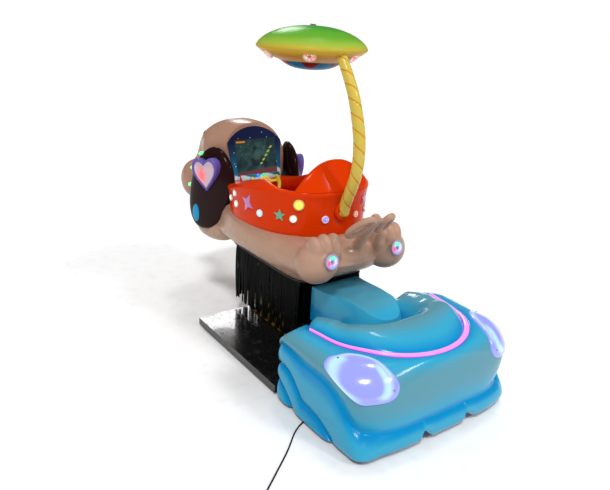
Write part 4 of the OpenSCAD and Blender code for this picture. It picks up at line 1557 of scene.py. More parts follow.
@dataclass
class Fringe(Assembly):
    """Black PVC strips that hang from the belly plate on four sides."""

    body = Body.RIDE
    rear_x: float = -235
    front_x: float = 440
    half: float = 205
    top: float = 456
    hem: float = 26
    width: float = 15.4
    pitch: float = 16.0
    drop: float = 334

    def build(self) -> None:
        """Makes the four panels."""
        long = self.front_x - self.rear_x
        for side in Side:
            start = Vector((self.rear_x, side.value * (self.half - 2), self.top))
            obj = self.panel(f"fringe_{side.name.lower()}", start, Vector((1, 0, 0)),
                             Vector((0, side.value, 0)), long, 11.0 + side.value)
            if side is Side.LEFT:
                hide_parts("fringe_sides")
        for x, way, seed in ((self.rear_x + 2, -1, 31.0), (self.front_x - 2, 1, 47.0)):
            start = Vector((x, 6 - self.half, self.top))
            obj = self.panel("fringe_rear" if way < 0 else "fringe_front", start, Vector((0, 1, 0)),
                             Vector((way, 0, 0)), 2 * self.half - 12, seed)
            if way < 0:
                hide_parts("fringe_ends")

    def panel(self, name: str, start: Vector, way: Vector, out: Vector, long: float,
              seed: float) -> Piece:
        """Makes one panel: a hem and strips that hang with a slight curl.

        Args:
            name: name of the panel.
            start: its upper corner in millimetres.
            way: direction along the panel.
            out: direction away from the drive.
            long: its length in millimetres.
            seed: start of the repeatable numbers that vary the strips.

        Returns:
            The panel.
        """
        count = int(long // self.pitch)
        verts, faces = [], []

        def slab(rows: list[tuple[Vector, Vector, float]]) -> None:
            """Adds one flat strip.

            Args:
                rows: middle, half width and half thickness at each level.
            """
            first = len(verts)
            for middle, across, thick in rows:
                for a, b in ((-1, -1), (1, -1), (1, 1), (-1, 1)):
                    verts.append((middle + across * a + out * (thick * b)) * MM)
            for k in range(len(rows) - 1):
                a, b = first + 4 * k, first + 4 * k + 4
                faces.extend((a + i, a + (i + 1) % 4, b + (i + 1) % 4, b + i) for i in range(4))
            last = first + 4 * (len(rows) - 1)
            faces.append((first + 3, first + 2, first + 1, first))
            faces.append((last, last + 1, last + 2, last + 3))

        middle = start + way * (long / 2)
        slab([(middle - Vector((0, 0, d)), way * (long / 2), 1.2) for d in (0, self.hem)])
        for i in range(count):
            one, two, three = (wobble(seed + 3 * i + k) for k in range(3))
            at = start + way * (self.pitch * (i + 0.5) + 4)
            rows = []
            for k in range(11):
                w = k / 10
                sway = way * (7 * one * w ** 1.6) + out * (5 + 9 * two * w ** 2 + 4 * sin(3 * w + three))
                depth = self.hem * 0.5 + (self.drop + 10 * three) * w
                twist = way * (self.width / 2) + out * (2.5 * one * w)
                rows.append((at + sway * w ** 0.3 - Vector((0, 0, depth)), twist, 0.8))
            slab(rows)
        obj = crisp(outward(mesh_piece(name, verts, faces)), 0.6)
        self.fit(obj, PVC, "strip_black")
        return obj


@dataclass
class TubPieces(Assembly):
    """Base of the sub-assemblies that follow the tub's plan."""

    body = Body.RIDE
    tub_x: float = 147
    tub_a: float = 432
    tub_b: float = 340
    power: float = 2.28
    front_power: float = 2.0


@dataclass
class PuppyBody(TubPieces):
    """Tan body moulding with front legs, hind paws and the bow-shaped tail, melted into one skin."""

    middle: float = 160
    long: float = 605
    paw_x: float = -395
    paw_y: float = 218
    paw_z: float = 631

    def build(self) -> None:
        """Makes the moulding out of its torso, legs, paws and tail."""
        x, a = self.middle, self.long
        levels = [(x - 40, a - 215, 222, 462, 6, 6), (x - 40, a - 165, 260, 490, 4.5, 4.5),
                  (x - 35, a - 100, 302, 522, 3.6, 3.6), (x - 25, a - 45, 338, 556, 3, 3),
                  (x - 15, a - 7, 364, 600, 2.6, 1.9), (x - 10, a - 20, 364, 650, 2.6, 1.75),
                  (x - 10, a - 85, 354, 688, 2.6, 1.8),
                  (self.tub_x, self.tub_a + 2, self.tub_b + 2, 704, self.power, self.front_power)]
        rings = [[((at + p) * MM, q * MM, z * MM) for p, q in oval(half, wide, n, 96, m)]
                 for at, half, wide, z, n, m in levels]
        parts = [skin("torso", rings)]
        for side in Side:
            parts += self.paw(side)
            parts.append(ball((625, side.value * 243, 500), (215, 70, 72), (0, 8, side.value * 2)))
        parts.append(ball((-342, 0, 630), (114, 170, 86)))
        parts += self.tail()
        obj = fuse("puppy_body", parts, 6.0, 5)
        at = points_of(obj)
        # Painted shade: deeper in the hollows and on the flanks just under the tub.
        shade_under_tub = np.clip((at[:, 2] - 0.645) / 0.055, 0, 1) * (at[:, 0] > -0.34) * (np.abs(at[:, 1]) > 0.2)
        mark(obj, np.maximum(0.1 + hollows(obj, 30, 120, 0.001) * 0.8, 0.45 * shade_under_tub))
        self.fit(obj, TAN, "tan_moulding", "body_shell", "paw_left", "paw_right", "tail_bow")

    def paw(self, side: Side) -> list[Piece]:
        """Makes one upright hind paw.

        Args:
            side: side of the machine.

        Returns:
            Its sole, haunch and three toes.
        """
        y = side.value
        parts = [ball((self.paw_x, y * (self.paw_y + 8), self.paw_z - 4), (98, 114, 106), (0, 8, 0)),
                 ball((self.paw_x + 195, y * (self.paw_y + 6), self.paw_z - 16), (280, 112, 92))]
        for k, shift in ((-1, -58), (0, 0), (1, 48)):
            back = 8 * abs(k)
            middle = (self.paw_x - 16 + back, y * (self.paw_y - 12 + shift), self.paw_z + 62 - back)
            parts.append(ball(middle, (62, 40, 88), (y * k * -6, -8, 0)))
        return parts

    def tail(self) -> list[Piece]:
        """Makes the parts of the tail: a tongue between two open loops.

        Returns:
            The tongue and both loops.
        """
        route = [(-404, 0, 640), (-430, 0, 690), (-464, 0, 745), (-500, 0, 802), (-534, 0, 852),
                 (-562, 0, 893)]
        path = [p * MM for p in smooth_path(route, 6)]
        last = len(path) - 1

        def section(k: int) -> list[Pair]:
            """Section of the tongue at a point of its path."""
            w = k / last
            share = sqrt(max(0.02, 1 - ramp(w, 0.86, 1.0) ** 2))
            line = oval(mix(31, 25, w), mix(25, 23, w), 2.2, 28)
            return [(p * MM * share, q * MM * share) for p, q in line]

        parts = [tube("tongue", path, section, (0, 1, 0))]
        for side in Side:
            out, across = Vector((31, side.value * 40, -22)), Vector((-47, 0, 50))
            middle = Vector((-528, side.value * 78, 826))
            turns = [2 * pi * k / 48 for k in range(49)]
            loop = [(middle + out * cos(a) + across * sin(a)) * MM for a in turns]
            parts.append(tube("loop", loop, lambda k: [(p * MM, q * MM) for p, q in oval(17, 17, 2, 16)]))
        return parts


@dataclass
class Head(Assembly):
    """Puppy head: skull with a flat leaning back, muzzle, eyes, nose, ears and heart lamps."""

    body = Body.RIDE
    lean: float = 0.262
    back_x: float = 585.164
    ear_x: float = 600
    ear_y: float = 272
    ear_turn: float = 18

    def build(self) -> None:
        """Makes the skull, the face and both ears."""
        self.skull()
        self.face()
        for side in Side:
            self.ear(side)

    def skull(self) -> None:
        """Makes the skull and muzzle as one moulding, cut flat for the screen."""
        stations = [(540, 704, 1118, 186), (600, 702, 1134, 212), (660, 699, 1142, 240),
                    (720, 690, 1145, 264), (790, 620, 1144, 282), (870, 580, 1128, 285),
                    (940, 568, 1082, 283), (1000, 572, 990, 262), (1050, 592, 890, 226),
                    (1088, 628, 815, 172), (1106, 672, 762, 104)]
        rings = []
        for x, low, high, half in stations:
            mid = (low + high) / 2
            ring = []
            for p, q in oval(half, (high - low) / 2, 2.15, 72):
                slim = 0.2 * ramp(x, 740, 870) * ramp(mid + q, 790, 880) * (1 - ramp(mid + q, 930, 1080))
                ring.append((x * MM, p * (1 - slim) * MM, (mid + q) * MM))
            rings.append(ring)
        parts = [skin("skull", rings)]
        for side in Side:
            parts.append(ball((1026, side.value * 92, 712), (92, 112, 92)))
            parts.append(ball((948, side.value * 213, 736), (130, 104, 130)))
        parts.append(ball((985, 0, 626), (112, 118, 66)))
        obj = fuse("puppy_head", parts, 7.0, 8)
        edit = bmesh.new()
        edit.from_mesh(obj.data)
        plane = Vector((self.back_x, 0, 950)) * MM
        cut = bmesh.ops.bisect_plane(
            edit, geom=edit.verts[:] + edit.edges[:] + edit.faces[:], plane_co=plane,
            plane_no=Vector((-1, 0, self.lean)).normalized(), clear_outer=True)
        bmesh.ops.edgeloop_fill(edit, edges=[e for e in cut["geom_cut"] if isinstance(e, bmesh.types.BMEdge)])
        edit.to_mesh(obj.data)
        edit.free()
        crisp(obj, 0.7)
        # Painted shade: the whole head sits at the base tone, darker than the body, and deeper in its
        # hollows.
        mark(obj, 0.5 + hollows(obj, 26, 110, 0.0012) * 0.5)
        self.fit(obj, TAN, "tan_moulding", "head_shell")

    def face(self) -> None:
        """Makes the nose, the eyes and their glints."""
        balls = [ball((1092, 0, 756), (36, 50, 34)), ball((1086, 0, 738), (30, 28, 30))]
        nose = fuse("puppy_nose", balls, 3.0, 4)
        self.fit(nose, BLACK, "black_gloss", "nose")
        whites, balls = [], []
        for side in Side:
            look = Vector((0.86, side.value * 0.36, 0.36)).normalized()
            middle = Vector((952, side.value * 130, 1010))
            balls.append(ball(middle, (40, 40, 40), fine=40))
            glint = middle + look * 36 + Vector((0, 0, 12))
            whites.append(ball(glint, (9, 9, 9), fine=20))
        self.fit(join("puppy_eyes", balls), BLACK, "black_gloss", "eyes")
        glints = tint(join("eye_glints", whites), (245, 245, 245))
        self.fit(glints, STAR, "lamp_lens")

    def on_ear(self, side: Side, shift: float, z: float, out: float) -> Matrix:
        """Matrix of a place on an ear's outer face, its Z pointing out and its Y up.

        Args:
            side: side of the machine.
            shift: way along the ear in millimetres.
            z: height in millimetres.
            out: way out of the ear in millimetres.

        Returns:
            The matrix.
        """
        turn = radians(self.ear_turn)
        along = Vector((cos(turn), side.value * sin(turn), 0))
        away = Vector((-sin(turn), side.value * cos(turn), 0))
        at = Vector((self.ear_x, side.value * self.ear_y, z)) + along * shift + away * out
        return facing(at * MM, away)

    def ear(self, side: Side) -> None:
        """Makes one hanging ear with its heart lamp, oval disc and small lamps.

        Args:
            side: side of the machine.
        """
        turn = radians(self.ear_turn)
        levels = [(504, 20, 9, -30, 66), (512, 48, 22, -30, 64), (536, 92, 34, -28, 58),
                  (604, 142, 46, -22, 44), (700, 168, 52, -12, 26), (790, 174, 52, -2, 14),
                  (865, 162, 48, 4, 6), (940, 124, 42, 10, 4), (988, 72, 27, 16, 6), (1004, 36, 15, 20, 8),
                  (1010, 17, 8, 21, 9)]
        rings = []
        for z, a, b, inward, ahead in levels:
            ring = []
            for p, q in oval(a, b, 2.2, 40):
                p, q = p + ahead, q - inward
                x = self.ear_x + p * cos(turn) - q * sin(turn)
                y = self.ear_y + p * sin(turn) + q * cos(turn)
                ring.append((x * MM, side.value * y * MM, z * MM))
            rings.append(ring)
        name = side.name.lower()
        ear = modify(skin(f"ear_moulding_{name}", rings), "SUBSURF", levels=2)
        self.fit(ear, BROWN, "brown_moulding", f"ear_{name}")
        self.heart(side, name)
        disc = lathe(f"ear_oval_{name}", [(1, 0), (30, 0), (31, 16), (29, 22), (24, 25), (10, 27), (0.5, 27)],
                     self.on_ear(side, 94, 603, 42) @ Matrix.Diagonal((1, 1.85, 1, 1)), 48)
        self.fit(disc, CYAN, "cyan_trim")
        lamps = []
        for shift, z, out in ((184, 758, 4), (166, 866, 0), (98, 962, -4)):
            lamps.append(lathe("led", [(0.5, 0), (11, 0), (11, 24), (9, 30), (5, 33), (0.5, 34)],
                               self.on_ear(side, shift, z, out), 20))
        small = tint(join(f"ear_small_lamps_{name}", lamps), (120, 245, 150))
        self.fit(small, LAMP, "lamp_lens")
        if side is Side.LEFT:
            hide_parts("ear_discs")
            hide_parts("ear_leds")

    def heart(self, side: Side, name: str) -> None:
        """Makes one heart lamp: a rounded bezel and a domed lens with a warm spot.

        Args:
            side: side of the machine.
            name: the side's word in the pieces' names.
        """
        outline, count = [], 72
        for t in circle(count):
            x = 16 * bent(sin(t), 2.2)
            y = 13 * cos(t) - 4.2 * cos(2 * t) - 1.5 * cos(3 * t) - 0.7 * cos(4 * t)
            outline.append(Vector((x * 6.6, (y + 3.2) * 7.2)))
        for _ in range(5):
            outline = [(outline[k - 1] + b * 2 + outline[(k + 1) % count]) / 4 for k, b in enumerate(outline)]
        tilt = Matrix.Rotation(radians(side.value * 10), 4, "Z")
        at = self.on_ear(side, 16, 839 + 11 * side.value, 20) @ tilt
        steps = [(0.96, 0), (1.0, 6), (1.0, 40), (0.975, 48), (0.92, 52), (0.86, 52), (0.82, 49), (0.81, 42)]
        rim = skin(f"heart_rim_{name}", stack(outline, steps))
        bezel = self.fit(move(rim, at), PURPLE, "purple_moulding")
        steps = [(0.82, 40), (0.81, 45), (0.74, 50), (0.6, 54), (0.42, 57), (0.22, 58), (0.04, 58.4)]
        lens = skin(f"heart_lens_{name}", stack(outline, steps))
        place = points_of(lens)
        far = np.hypot((place[:, 0] + side.value * 0.016) / 0.034, (place[:, 1] - 0.002) / 0.042)
        mark(lens, np.clip(1.5 - far, 0, 1) ** 1.2)
        self.fit(move(lens, at), HEART, "heart_lens")
        if side is Side.LEFT:
            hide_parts("heart_bezels")
            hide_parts("heart_lenses")


@dataclass
class Screen(Assembly):
    """Arched printed panel with the screen, on the head's flat back."""

    body = Body.RIDE
    foot: Vec = (541, 0, 813)
    lean: float = Head.lean
    low: float = 163
    wide: float = 188
    shoulder: float = 225
    rise: float = 92
    print_top: float = 1120

    def build(self) -> None:
        """Makes the panel and the screen with its frame."""
        tilt = atan(self.lean)
        out = Vector((-cos(tilt), 0, sin(tilt)))
        place = facing(Vector(self.foot) * MM, out)
        arch = (self.wide ** 2 + self.rise ** 2) / (2 * self.rise)
        sweep = asin(self.wide / arch)
        top = self.shoulder + self.rise - arch
        line = [(-self.low, 0), (self.low, 0), (self.wide, self.shoulder)]
        turns = [sweep * k / 14 for k in range(13, -14, -1)]
        line += [(arch * sin(a), top + arch * cos(a)) for a in turns]
        line += [(-self.wide, self.shoulder)]
        middle = Vector((0, 150))
        rings = [[((middle.x + (x - middle.x) * s) * MM, (middle.y + (y - middle.y) * s) * MM, h * MM)
                  for x, y in line] for s, h in ((1.0, -8), (1.0, -2), (0.992, 0), (0.5, 0.6))]
        panel = crisp(move(skin("night_panel", rings), place), 0.5)
        foot, up = self.foot[2] * MM, cos(tilt)
        self.fit(panel, NightPrint("night_print", foot, self.print_top * MM), "navy_panel", "screen_bezel")
        half, base, tall = 140, 24, 216
        rings = []
        for e, h in ((0, 0), (0, 2.5), (2, 4), (3, 3.4)):
            low, high = base + e, base + tall - e
            rings += stack(((e - half, low), (half - e, low), (half - e, high), (e - half, high)), [(1, h)])
        glass = crisp(move(skin("game_screen", rings), place), 0.5)
        look = GameScreen("game_picture", foot + base * up * MM, foot + (base + tall) * up * MM, half * MM)
        self.fit(glass, look, "screen_glass", "lcd_panel")


@dataclass
class LightPod:
    """Round light pod: rim, reflector bowl and a ring of small lamps."""

    diameter: float = 60
    depth: float = 14
    petals: int = 10

    def build(self, name: str, place: Matrix, tints: Sequence[Rgb], rim: Rgb) -> tuple[Piece, list[Piece]]:
        """Makes one pod.

        Args:
            name: start of the pieces' names.
            place: where its base sits, its Z pointing out.
            tints: colours of the small lamps, used in turn.
            rim: colour of the rim.

        Returns:
            The rim's object and the list of lamp objects.
        """
        r, d = self.diameter / 2, self.depth
        shell = lathe(name, [(0.5, 0), (r * 0.98, 0), (r, d * 0.5), (r * 0.97, d * 0.86), (r * 0.88, d),
                             (r * 0.8, d * 0.92), (r * 0.6, d * 0.62), (r * 0.28, d * 0.46), (0.5, d * 0.44)],
                      place, 36)
        tint(shell, rim)
        lamps = []
        for k, a in enumerate(circle(self.petals)):
            at = Matrix.Rotation(a, 4, "Z") @ Matrix.Translation((r * 0.56 * MM, 0, d * 0.78 * MM))
            lamp = ball((0, 0, 0), (r * 0.25, r * 0.115, r * 0.1), fine=10)
            lamps.append(tint(move(lamp, place @ at), tints[k % len(tints)]))
        hub = ball((0, 0, 0), (r * 0.13, r * 0.13, r * 0.1), fine=10)
        lamps.append(tint(move(hub, place @ Matrix.Translation((0, 0, d * 0.5 * MM))), (70, 72, 86)))
        return shell, lamps


@dataclass
class Lights(TubPieces):
    """Light pods on the tub, the paws and under the canopy, and the tub's stars."""

    def on_tub(self, angle: float, z: float, out: float = 0.0) -> Matrix:
        """Matrix of a place on the tub's wall, its Z pointing out.

        Args:
            angle: direction from the tub's middle in degrees.
            z: height in millimetres.
            out: way out of the wall in millimetres.

        Returns:
            The matrix.
        """
        a = radians(angle)
        c, s = cos(a), sin(a)
        e = 2 / (self.front_power if c > 0 else self.power)
        grow = 1 + 0.018 * ramp(z, 740, 900)
        at = Vector((self.tub_x + self.tub_a * bent(c, e) * grow, self.tub_b * bent(s, e) * grow, z))
        away = Vector((bent(c, 2 - e) / self.tub_a, bent(s, 2 - e) / self.tub_b, 0))
        return facing((at + away.normalized() * out) * MM, away)

    def build(self) -> None:
        """Makes all pods and stars."""
        self.tub_pods()
        self.stars()
        self.paw_pods()
        self.canopy_pods()

    def paw_pods(self) -> None:
        """Makes the pods on the paws' soles, each with a ring of pastel lamps."""
        pastel = [(190, 170, 255), (150, 190, 255), (110, 225, 225), (90, 235, 180), (90, 235, 160),
                  (100, 225, 160), (120, 200, 170), (225, 110, 160), (240, 80, 130), (240, 80, 110),
                  (225, 110, 170), (160, 130, 255), (140, 140, 255), (150, 150, 255), (170, 160, 255),
                  (200, 180, 255)]
        tilt, reach = radians(80), 0.099
        out = Vector((-sin(tilt), 0, cos(tilt)))
        spots = []
        for side in Side:
            paw = Vector((PuppyBody.paw_x, side.value * (PuppyBody.paw_y - 6), PuppyBody.paw_z + 15))
            spots.append(facing(paw * MM + out * reach, out))
        self.group("paw_pod", "paw_lamps", spots, LightPod(78, 10, 16), pastel, (150, 142, 190))

    def canopy_pods(self) -> None:
        """Makes the six pods that look down and out under the canopy's rim."""
        tilt, spots = radians(134), []
        for k in range(6):
            a = radians(22 + 60 * k)
            ray = Vector((cos(a), sin(a), 0))
            out = ray * sin(tilt) + Vector((0, 0, cos(tilt)))
            at = Vector((Canopy.middle_x, 0, Canopy.rim_z - 22)) + ray * 0.83 * Canopy.radius
            spots.append(facing(at * MM, out))
        tints = [(255, 90, 100), (250, 150, 160), (120, 220, 150), (255, 110, 120), (170, 170, 230)]
        self.group("canopy_pod", "canopy_lamps", spots, LightPod(68, 18, 12), tints, (186, 178, 150))

    def group(self, name: str, node: str, spots: Sequence[Matrix], pod: LightPod, tints: Sequence[Rgb],
              rim: Rgb) -> None:
        """Makes equal pods at several places as two pieces: rims and lamps.

        Args:
            name: start of the pieces' names.
            node: CAD node that the rims replace.
            spots: where the pods sit.
            pod: the pod's form.
            tints: colours of its lamps, used in turn.
            rim: colour of the rims.
        """
        shells, lamps = [], []
        for spot in spots:
            shell, small = pod.build(name, spot, tints, rim)
            shells.append(shell)
            lamps += small
        self.fit(join(f"{name}_rims", shells), STAR, "lamp_lens", node)
        self.fit(join(f"{name}_lamps", lamps), LAMP, "lamp_lens")

    def tub_pods(self) -> None:
        """Makes the tub's pods: a rim and a glowing cap each."""
        spots = [(70, 792, 0.6, (226, 226, 220)), (80, 838, 0.6, (226, 226, 220)),
                 (82, 782, 0.66, (214, 214, 196)), (109, 789, 0.68, (150, 190, 255)),
                 (139, 796, 0.66, (180, 240, 200)), (143, 873, 0.95, (222, 206, 70)),
                 (166, 798, 0.66, (130, 120, 255)), (194, 801, 0.6, (255, 120, 90)),
                 (214, 804, 0.66, (200, 200, 255)), (250, 800, 0.66, (150, 190, 255)),
                 (283, 790, 0.66, (180, 240, 200))]
        rims, caps = [], []
        for angle, z, share, colour in spots:
            r, place = 30 * share, self.on_tub(angle, z, -3)
            rim = (206, 190, 60) if share > 0.9 else (226, 228, 224)
            ring = [(0.5, 0), (r, 0), (r, 7), (r * 0.95, 11), (r * 0.86, 12.6), (r * 0.76, 11),
                    (r * 0.74, 8), (0.5, 8)]
            rims.append(tint(lathe("rim", ring, place, 36), rim))
            dome = [(0.5, 7), (r * 0.73, 7), (r * 0.7, 11), (r * 0.5, 14), (r * 0.2, 15.6), (0.5, 16)]
            caps.append(tint(lathe("cap", dome, place, 28), colour))
            dot = tuple(min(255, c + 60) for c in colour)
            caps.append(tint(move(ball((0, 0, 0), (r * 0.2, r * 0.2, r * 0.1), fine=12),
                                  place @ Matrix.Translation((r * 0.2 * MM, r * 0.15 * MM, 15 * MM))), dot))
        self.fit(join("tub_pod_rims", rims), STAR, "lamp_lens", "tub_lamps")
        self.fit(join("tub_pod_caps", caps), LAMP, "lamp_lens")

    def stars(self) -> None:
        """Makes the raised painted stars, domed along their arms."""
        spots = [(96, 820, 4, 54, (178, 74, 160)), (127, 804, 5, 34, (20, 150, 100)),
                 (206, 873, 5, 36, (196, 40, 130)), (232, 815, 5, 34, (20, 150, 100)),
                 (268, 820, 4, 48, (178, 74, 160))]
        made = []
        for angle, z, points, r, colour in spots:
            line = []
            for k in range(2 * points):
                q = r if k % 2 == 0 else r * (0.42 if points == 4 else 0.44)
                t = pi * k / points - 0.4 * (points == 4)
                line.append((-q * sin(t), q * cos(t)))
            rings = stack(line, ((1.0, -4), (1.0, 2.5), (0.92, 4), (0.5, 5.6), (0.06, 6.4)))
            made.append(tint(move(skin("star", rings), self.on_tub(angle, z)), colour))
        obj = crisp(join("tub_star_reliefs", made), 0.5)
        self.fit(obj, STAR, "star_paint", "tub_stars")


@dataclass
class Cockpit(TubPieces):
    """Orange tub with a rolled rim, arched backrest and bench, and the dashboard's controls."""

    floor_z: float = 690
    rim_z: float = 938
    front_x: float = 532
    back_turn: float = 41
    back_rise: float = 146
    dash_low: Vec = (420, 0, 716)
    dash_high: Vec = (525, 0, 846)
    wheel_share: float = 0.58
    wheel_r: float = 91
    button_share: float = 0.91
    button_y: float = 20

    def build(self) -> None:
        """Makes the tub, backrest, bench and controls."""
        self.tub()
        self.backrest()
        self.bench()
        self.recoat(ORANGE, "dashboard")
        self.controls()

    def tub(self) -> None:
        """Makes the tub, from the underside over the rim and its broad armrests to the floor."""
        levels = [(0.6, 0), (0.97, 0), (0.992, 5), (1.0, 16), (1.0, 70), (1.009, 140), (1.018, 205),
                  (1.032, 226), (1.036, 238), (1.028, 247), (1.01, 250), (0.98, 250), (0.955, 246),
                  (0.946, 236), (0.93, 208), (0.915, 140), (0.9, 70), (0.88, 42), (0.84, 29), (0.5, 25)]
        rise = self.rim_z - self.floor_z
        rings = []
        for share, up in levels:
            ring = []
            for p, q in oval(self.tub_a * share, self.tub_b * share, self.power, 112, self.front_power):
                rest = ramp(p, -300, -120) * (1 - ramp(p, 160, 340)) * ramp(up, 150, 240)
                lift = -14 * rest
                if share < 1.0 and up > 40:
                    broad = 1 - 0.19 * ramp(up, 40, 120) * ramp(p, -300, -100)
                    p, q = p * broad, q * broad
                    lift = 20 * rest
                x = min(self.tub_x + p, self.front_x - (1.035 - share) * 120)
                drop = 1 - 0.5 * ramp(x, -60, 560) * ramp(up, 20, 90)
                ring.append((x * MM, q * MM, (self.floor_z + up * rise / 248 * drop + lift) * MM))
            rings.append(ring)
        obj = modify(skin("tub_moulding", rings), "SUBSURF", levels=1)
        at = points_of(obj)
        # Painted shade: deeper in the hollows and towards the tub's bottom edge.
        low = np.clip((0.73 - at[:, 2]) / 0.05, 0, 1)
        mark(obj, np.maximum(hollows(obj, 14, 60, 0.001), 0.35 * low))
        self.fit(obj, ORANGE, "orange_moulding", "tub_shell")

    def back_point(self, w: float, share: float, up: float) -> Vector:
        """Point of the backrest.

        Args:
            w: share of the way round it.
            share: size against the tub's plan.
            up: share of its height there.

        Returns:
            The point in millimetres.
        """
        t = radians(180 - self.back_turn + 2 * self.back_turn * w)
        rise = max(self.back_rise * max(cos(pi / 2 * (2 * w - 1)), 0) ** 0.96, 3)
        return Vector((self.tub_x + share * self.tub_a * bent(cos(t), 2 / self.power) + up * 0.6 * rise,
                       share * self.tub_b * bent(sin(t), 2 / self.power), self.rim_z + up * rise))

    def backrest(self) -> None:
        """Makes the arched backrest with a rolled edge."""
        outline = [(1.026, 0), (1.026, -0.02), (0.957, -0.02), (0.957, 0), (0.96, 0.35), (0.964, 0.7),
                   (0.969, 0.92), (0.976, 0.98), (0.988, 1.0), (1.0, 1.0), (1.012, 0.98), (1.02, 0.92),
                   (1.025, 0.7), (1.026, 0.35)]
        rings = [[self.back_point(0.004 + 0.992 * k / 48, s, u) * MM for s, u in outline] for k in range(49)]
        obj = modify(skin("backrest_moulding", rings), "SUBSURF", levels=1)
        self.fit(obj, ORANGE, "orange_moulding", "backrest")

    def bench(self) -> None:
        """Makes the moulded bench with a shallow seat."""
        levels = [(1.0, 717), (1.0, 770), (0.99, 794), (0.95, 806), (0.86, 811), (0.7, 808), (0.4, 803),
                  (0.1, 802)]
        rings = [[((-10 + p) * MM, q * MM, z * MM) for p, q in oval(150 * s, 210 * s, 3, 64)]
                 for s, z in levels]
        obj = modify(skin("bench_moulding", rings), "SUBSURF", levels=1)
        self.fit(obj, ORANGE, "orange_moulding", "seat_bench")

    def on_dash(self, share: float, down: float = 0.0, y: float = 0.0) -> Matrix:
        """Matrix of a place on the dashboard, its Z pointing out and its Y up along it.

        Args:
            share: share of the way up the dashboard.
            down: way back down from there in millimetres.
            y: way to the left in millimetres.

        Returns:
            The matrix.
        """
        low, high = Vector(self.dash_low), Vector(self.dash_high)
        along = (high - low).normalized()
        at = low + along * (share * (high - low).length - down) + Vector((0, y, 0))
        return facing(at * MM, (-along.z, 0, along.x), along)

    def controls(self) -> None:
        """Makes the printed band, the steering wheel, the horn cap and the two lit buttons."""
        rings = stack(((-136, 0), (136, 0), (136, 44), (-136, 44)), ((1, -1), (1, 1.2), (1, 1.6)))
        band = move(skin("dash_band", rings), self.on_dash(1, 46))
        self.fit(band, WavePrint("wave_print"), "navy_panel")
        wheel = self.on_dash(self.wheel_share)
        self.wheel(wheel)
        self.rainbow(wheel @ Matrix.Translation((0, 0, 30 * MM)))
        outline = [(0.5, -11), (10, -11), (10, 8.5), (9.4, 11), (7.5, 12.6), (0.5, 13)]
        for side, colour, node, slot, body in (
                (1, (40, 110, 255), "button_blue", "blue_button", Body.BLUE),
                (-1, (20, 210, 120), "button_green", "green_button", Body.GREEN)):
            cap = lathe(node + "_cap", outline, self.on_dash(self.button_share, 0, side * self.button_y), 32)
            self.fit(tint(cap, colour), BUTTON, slot, node, body=body)

    def wheel(self, place: Matrix) -> None:
        """Makes the steering wheel: a column, an open rim with two grips and three spokes.

        Args:
            place: where its column meets the dashboard, its Z pointing out.
        """
        column = [(0.5, -24), (14, -24), (14, 14), (26, 19), (36, 21), (36, 36), (33, 40), (22, 40),
                  (20.4, 38), (20.4, 27), (0.5, 26)]
        parts = [lathe("column", column, place, 40)]
        lift, radius = 34, self.wheel_r * MM
        turns = [radians(90 + 66 + 228 * k / 60) for k in range(61)]
        arc = [Vector((radius * cos(a), radius * sin(a), lift * MM)) for a in turns]

        def grip(k: int) -> list[Pair]:
            """Section of the rim, which swells to a grip at both ends."""
            w = k / 60
            swell = 10 + 3 * ramp(abs(2 * w - 1), 0.5, 0.7)
            end = sqrt(max(0.03, 1 - ramp(abs(2 * w - 1), 0.93, 1.0) ** 2))
            return [(p * MM * end, q * MM * end) for p, q in oval(swell, swell, 2, 20)]

        rim = tube("rim", arc, grip)
        far = np.hypot(points_of(rim)[:, 0], points_of(rim)[:, 1])
        parts.append(move(mark(rim, ((far - radius) / 0.011 - 0.45) * 3), place))
        for degrees in (180, 270, 360):
            turn = Matrix.Rotation(radians(degrees), 4, "Z")
            rings = [[(x * MM, y * MM, z * MM) for y, z in oval(w, 5, 3, 16)]
                     for x, w in ((30, 13), (44, 9.5), (66, 8.5), (88, 11))]
            spoke = move(skin("spoke", rings), Matrix.Translation((0, 0, lift * MM)))
            parts.append(move(spoke, place @ turn))
        self.fit(join("steering_rim", parts), YELLOW, "yellow_moulding", "steering_wheel", body=Body.STEERING)

    def rainbow(self, place: Matrix) -> None:
        """Makes the horn cap: nested coloured rings.

        Args:
            place: where the rings stand, its Z pointing out.
        """
        colours = [(226, 70, 40), (240, 150, 50), (235, 215, 80), (110, 190, 90), (70, 150, 220)]
        rings = []
        for k, colour in enumerate(colours):
            r0, r1 = 20 - 4 * k, 16 - 4 * k
            top = 8 + 1.1 * k
            band = lathe("band", [(max(r1, 0.4), 0), (r0, 0), (r0, top), (r0 - 0.8, top + 1.2),
                                  (max(r1, 0.4), top + 1.4)], place, 40)
            rings.append(tint(band, colour))
        self.fit(join("horn_rings", rings), STAR, "cyan_trim", "horn_cap", body=Body.HORN)


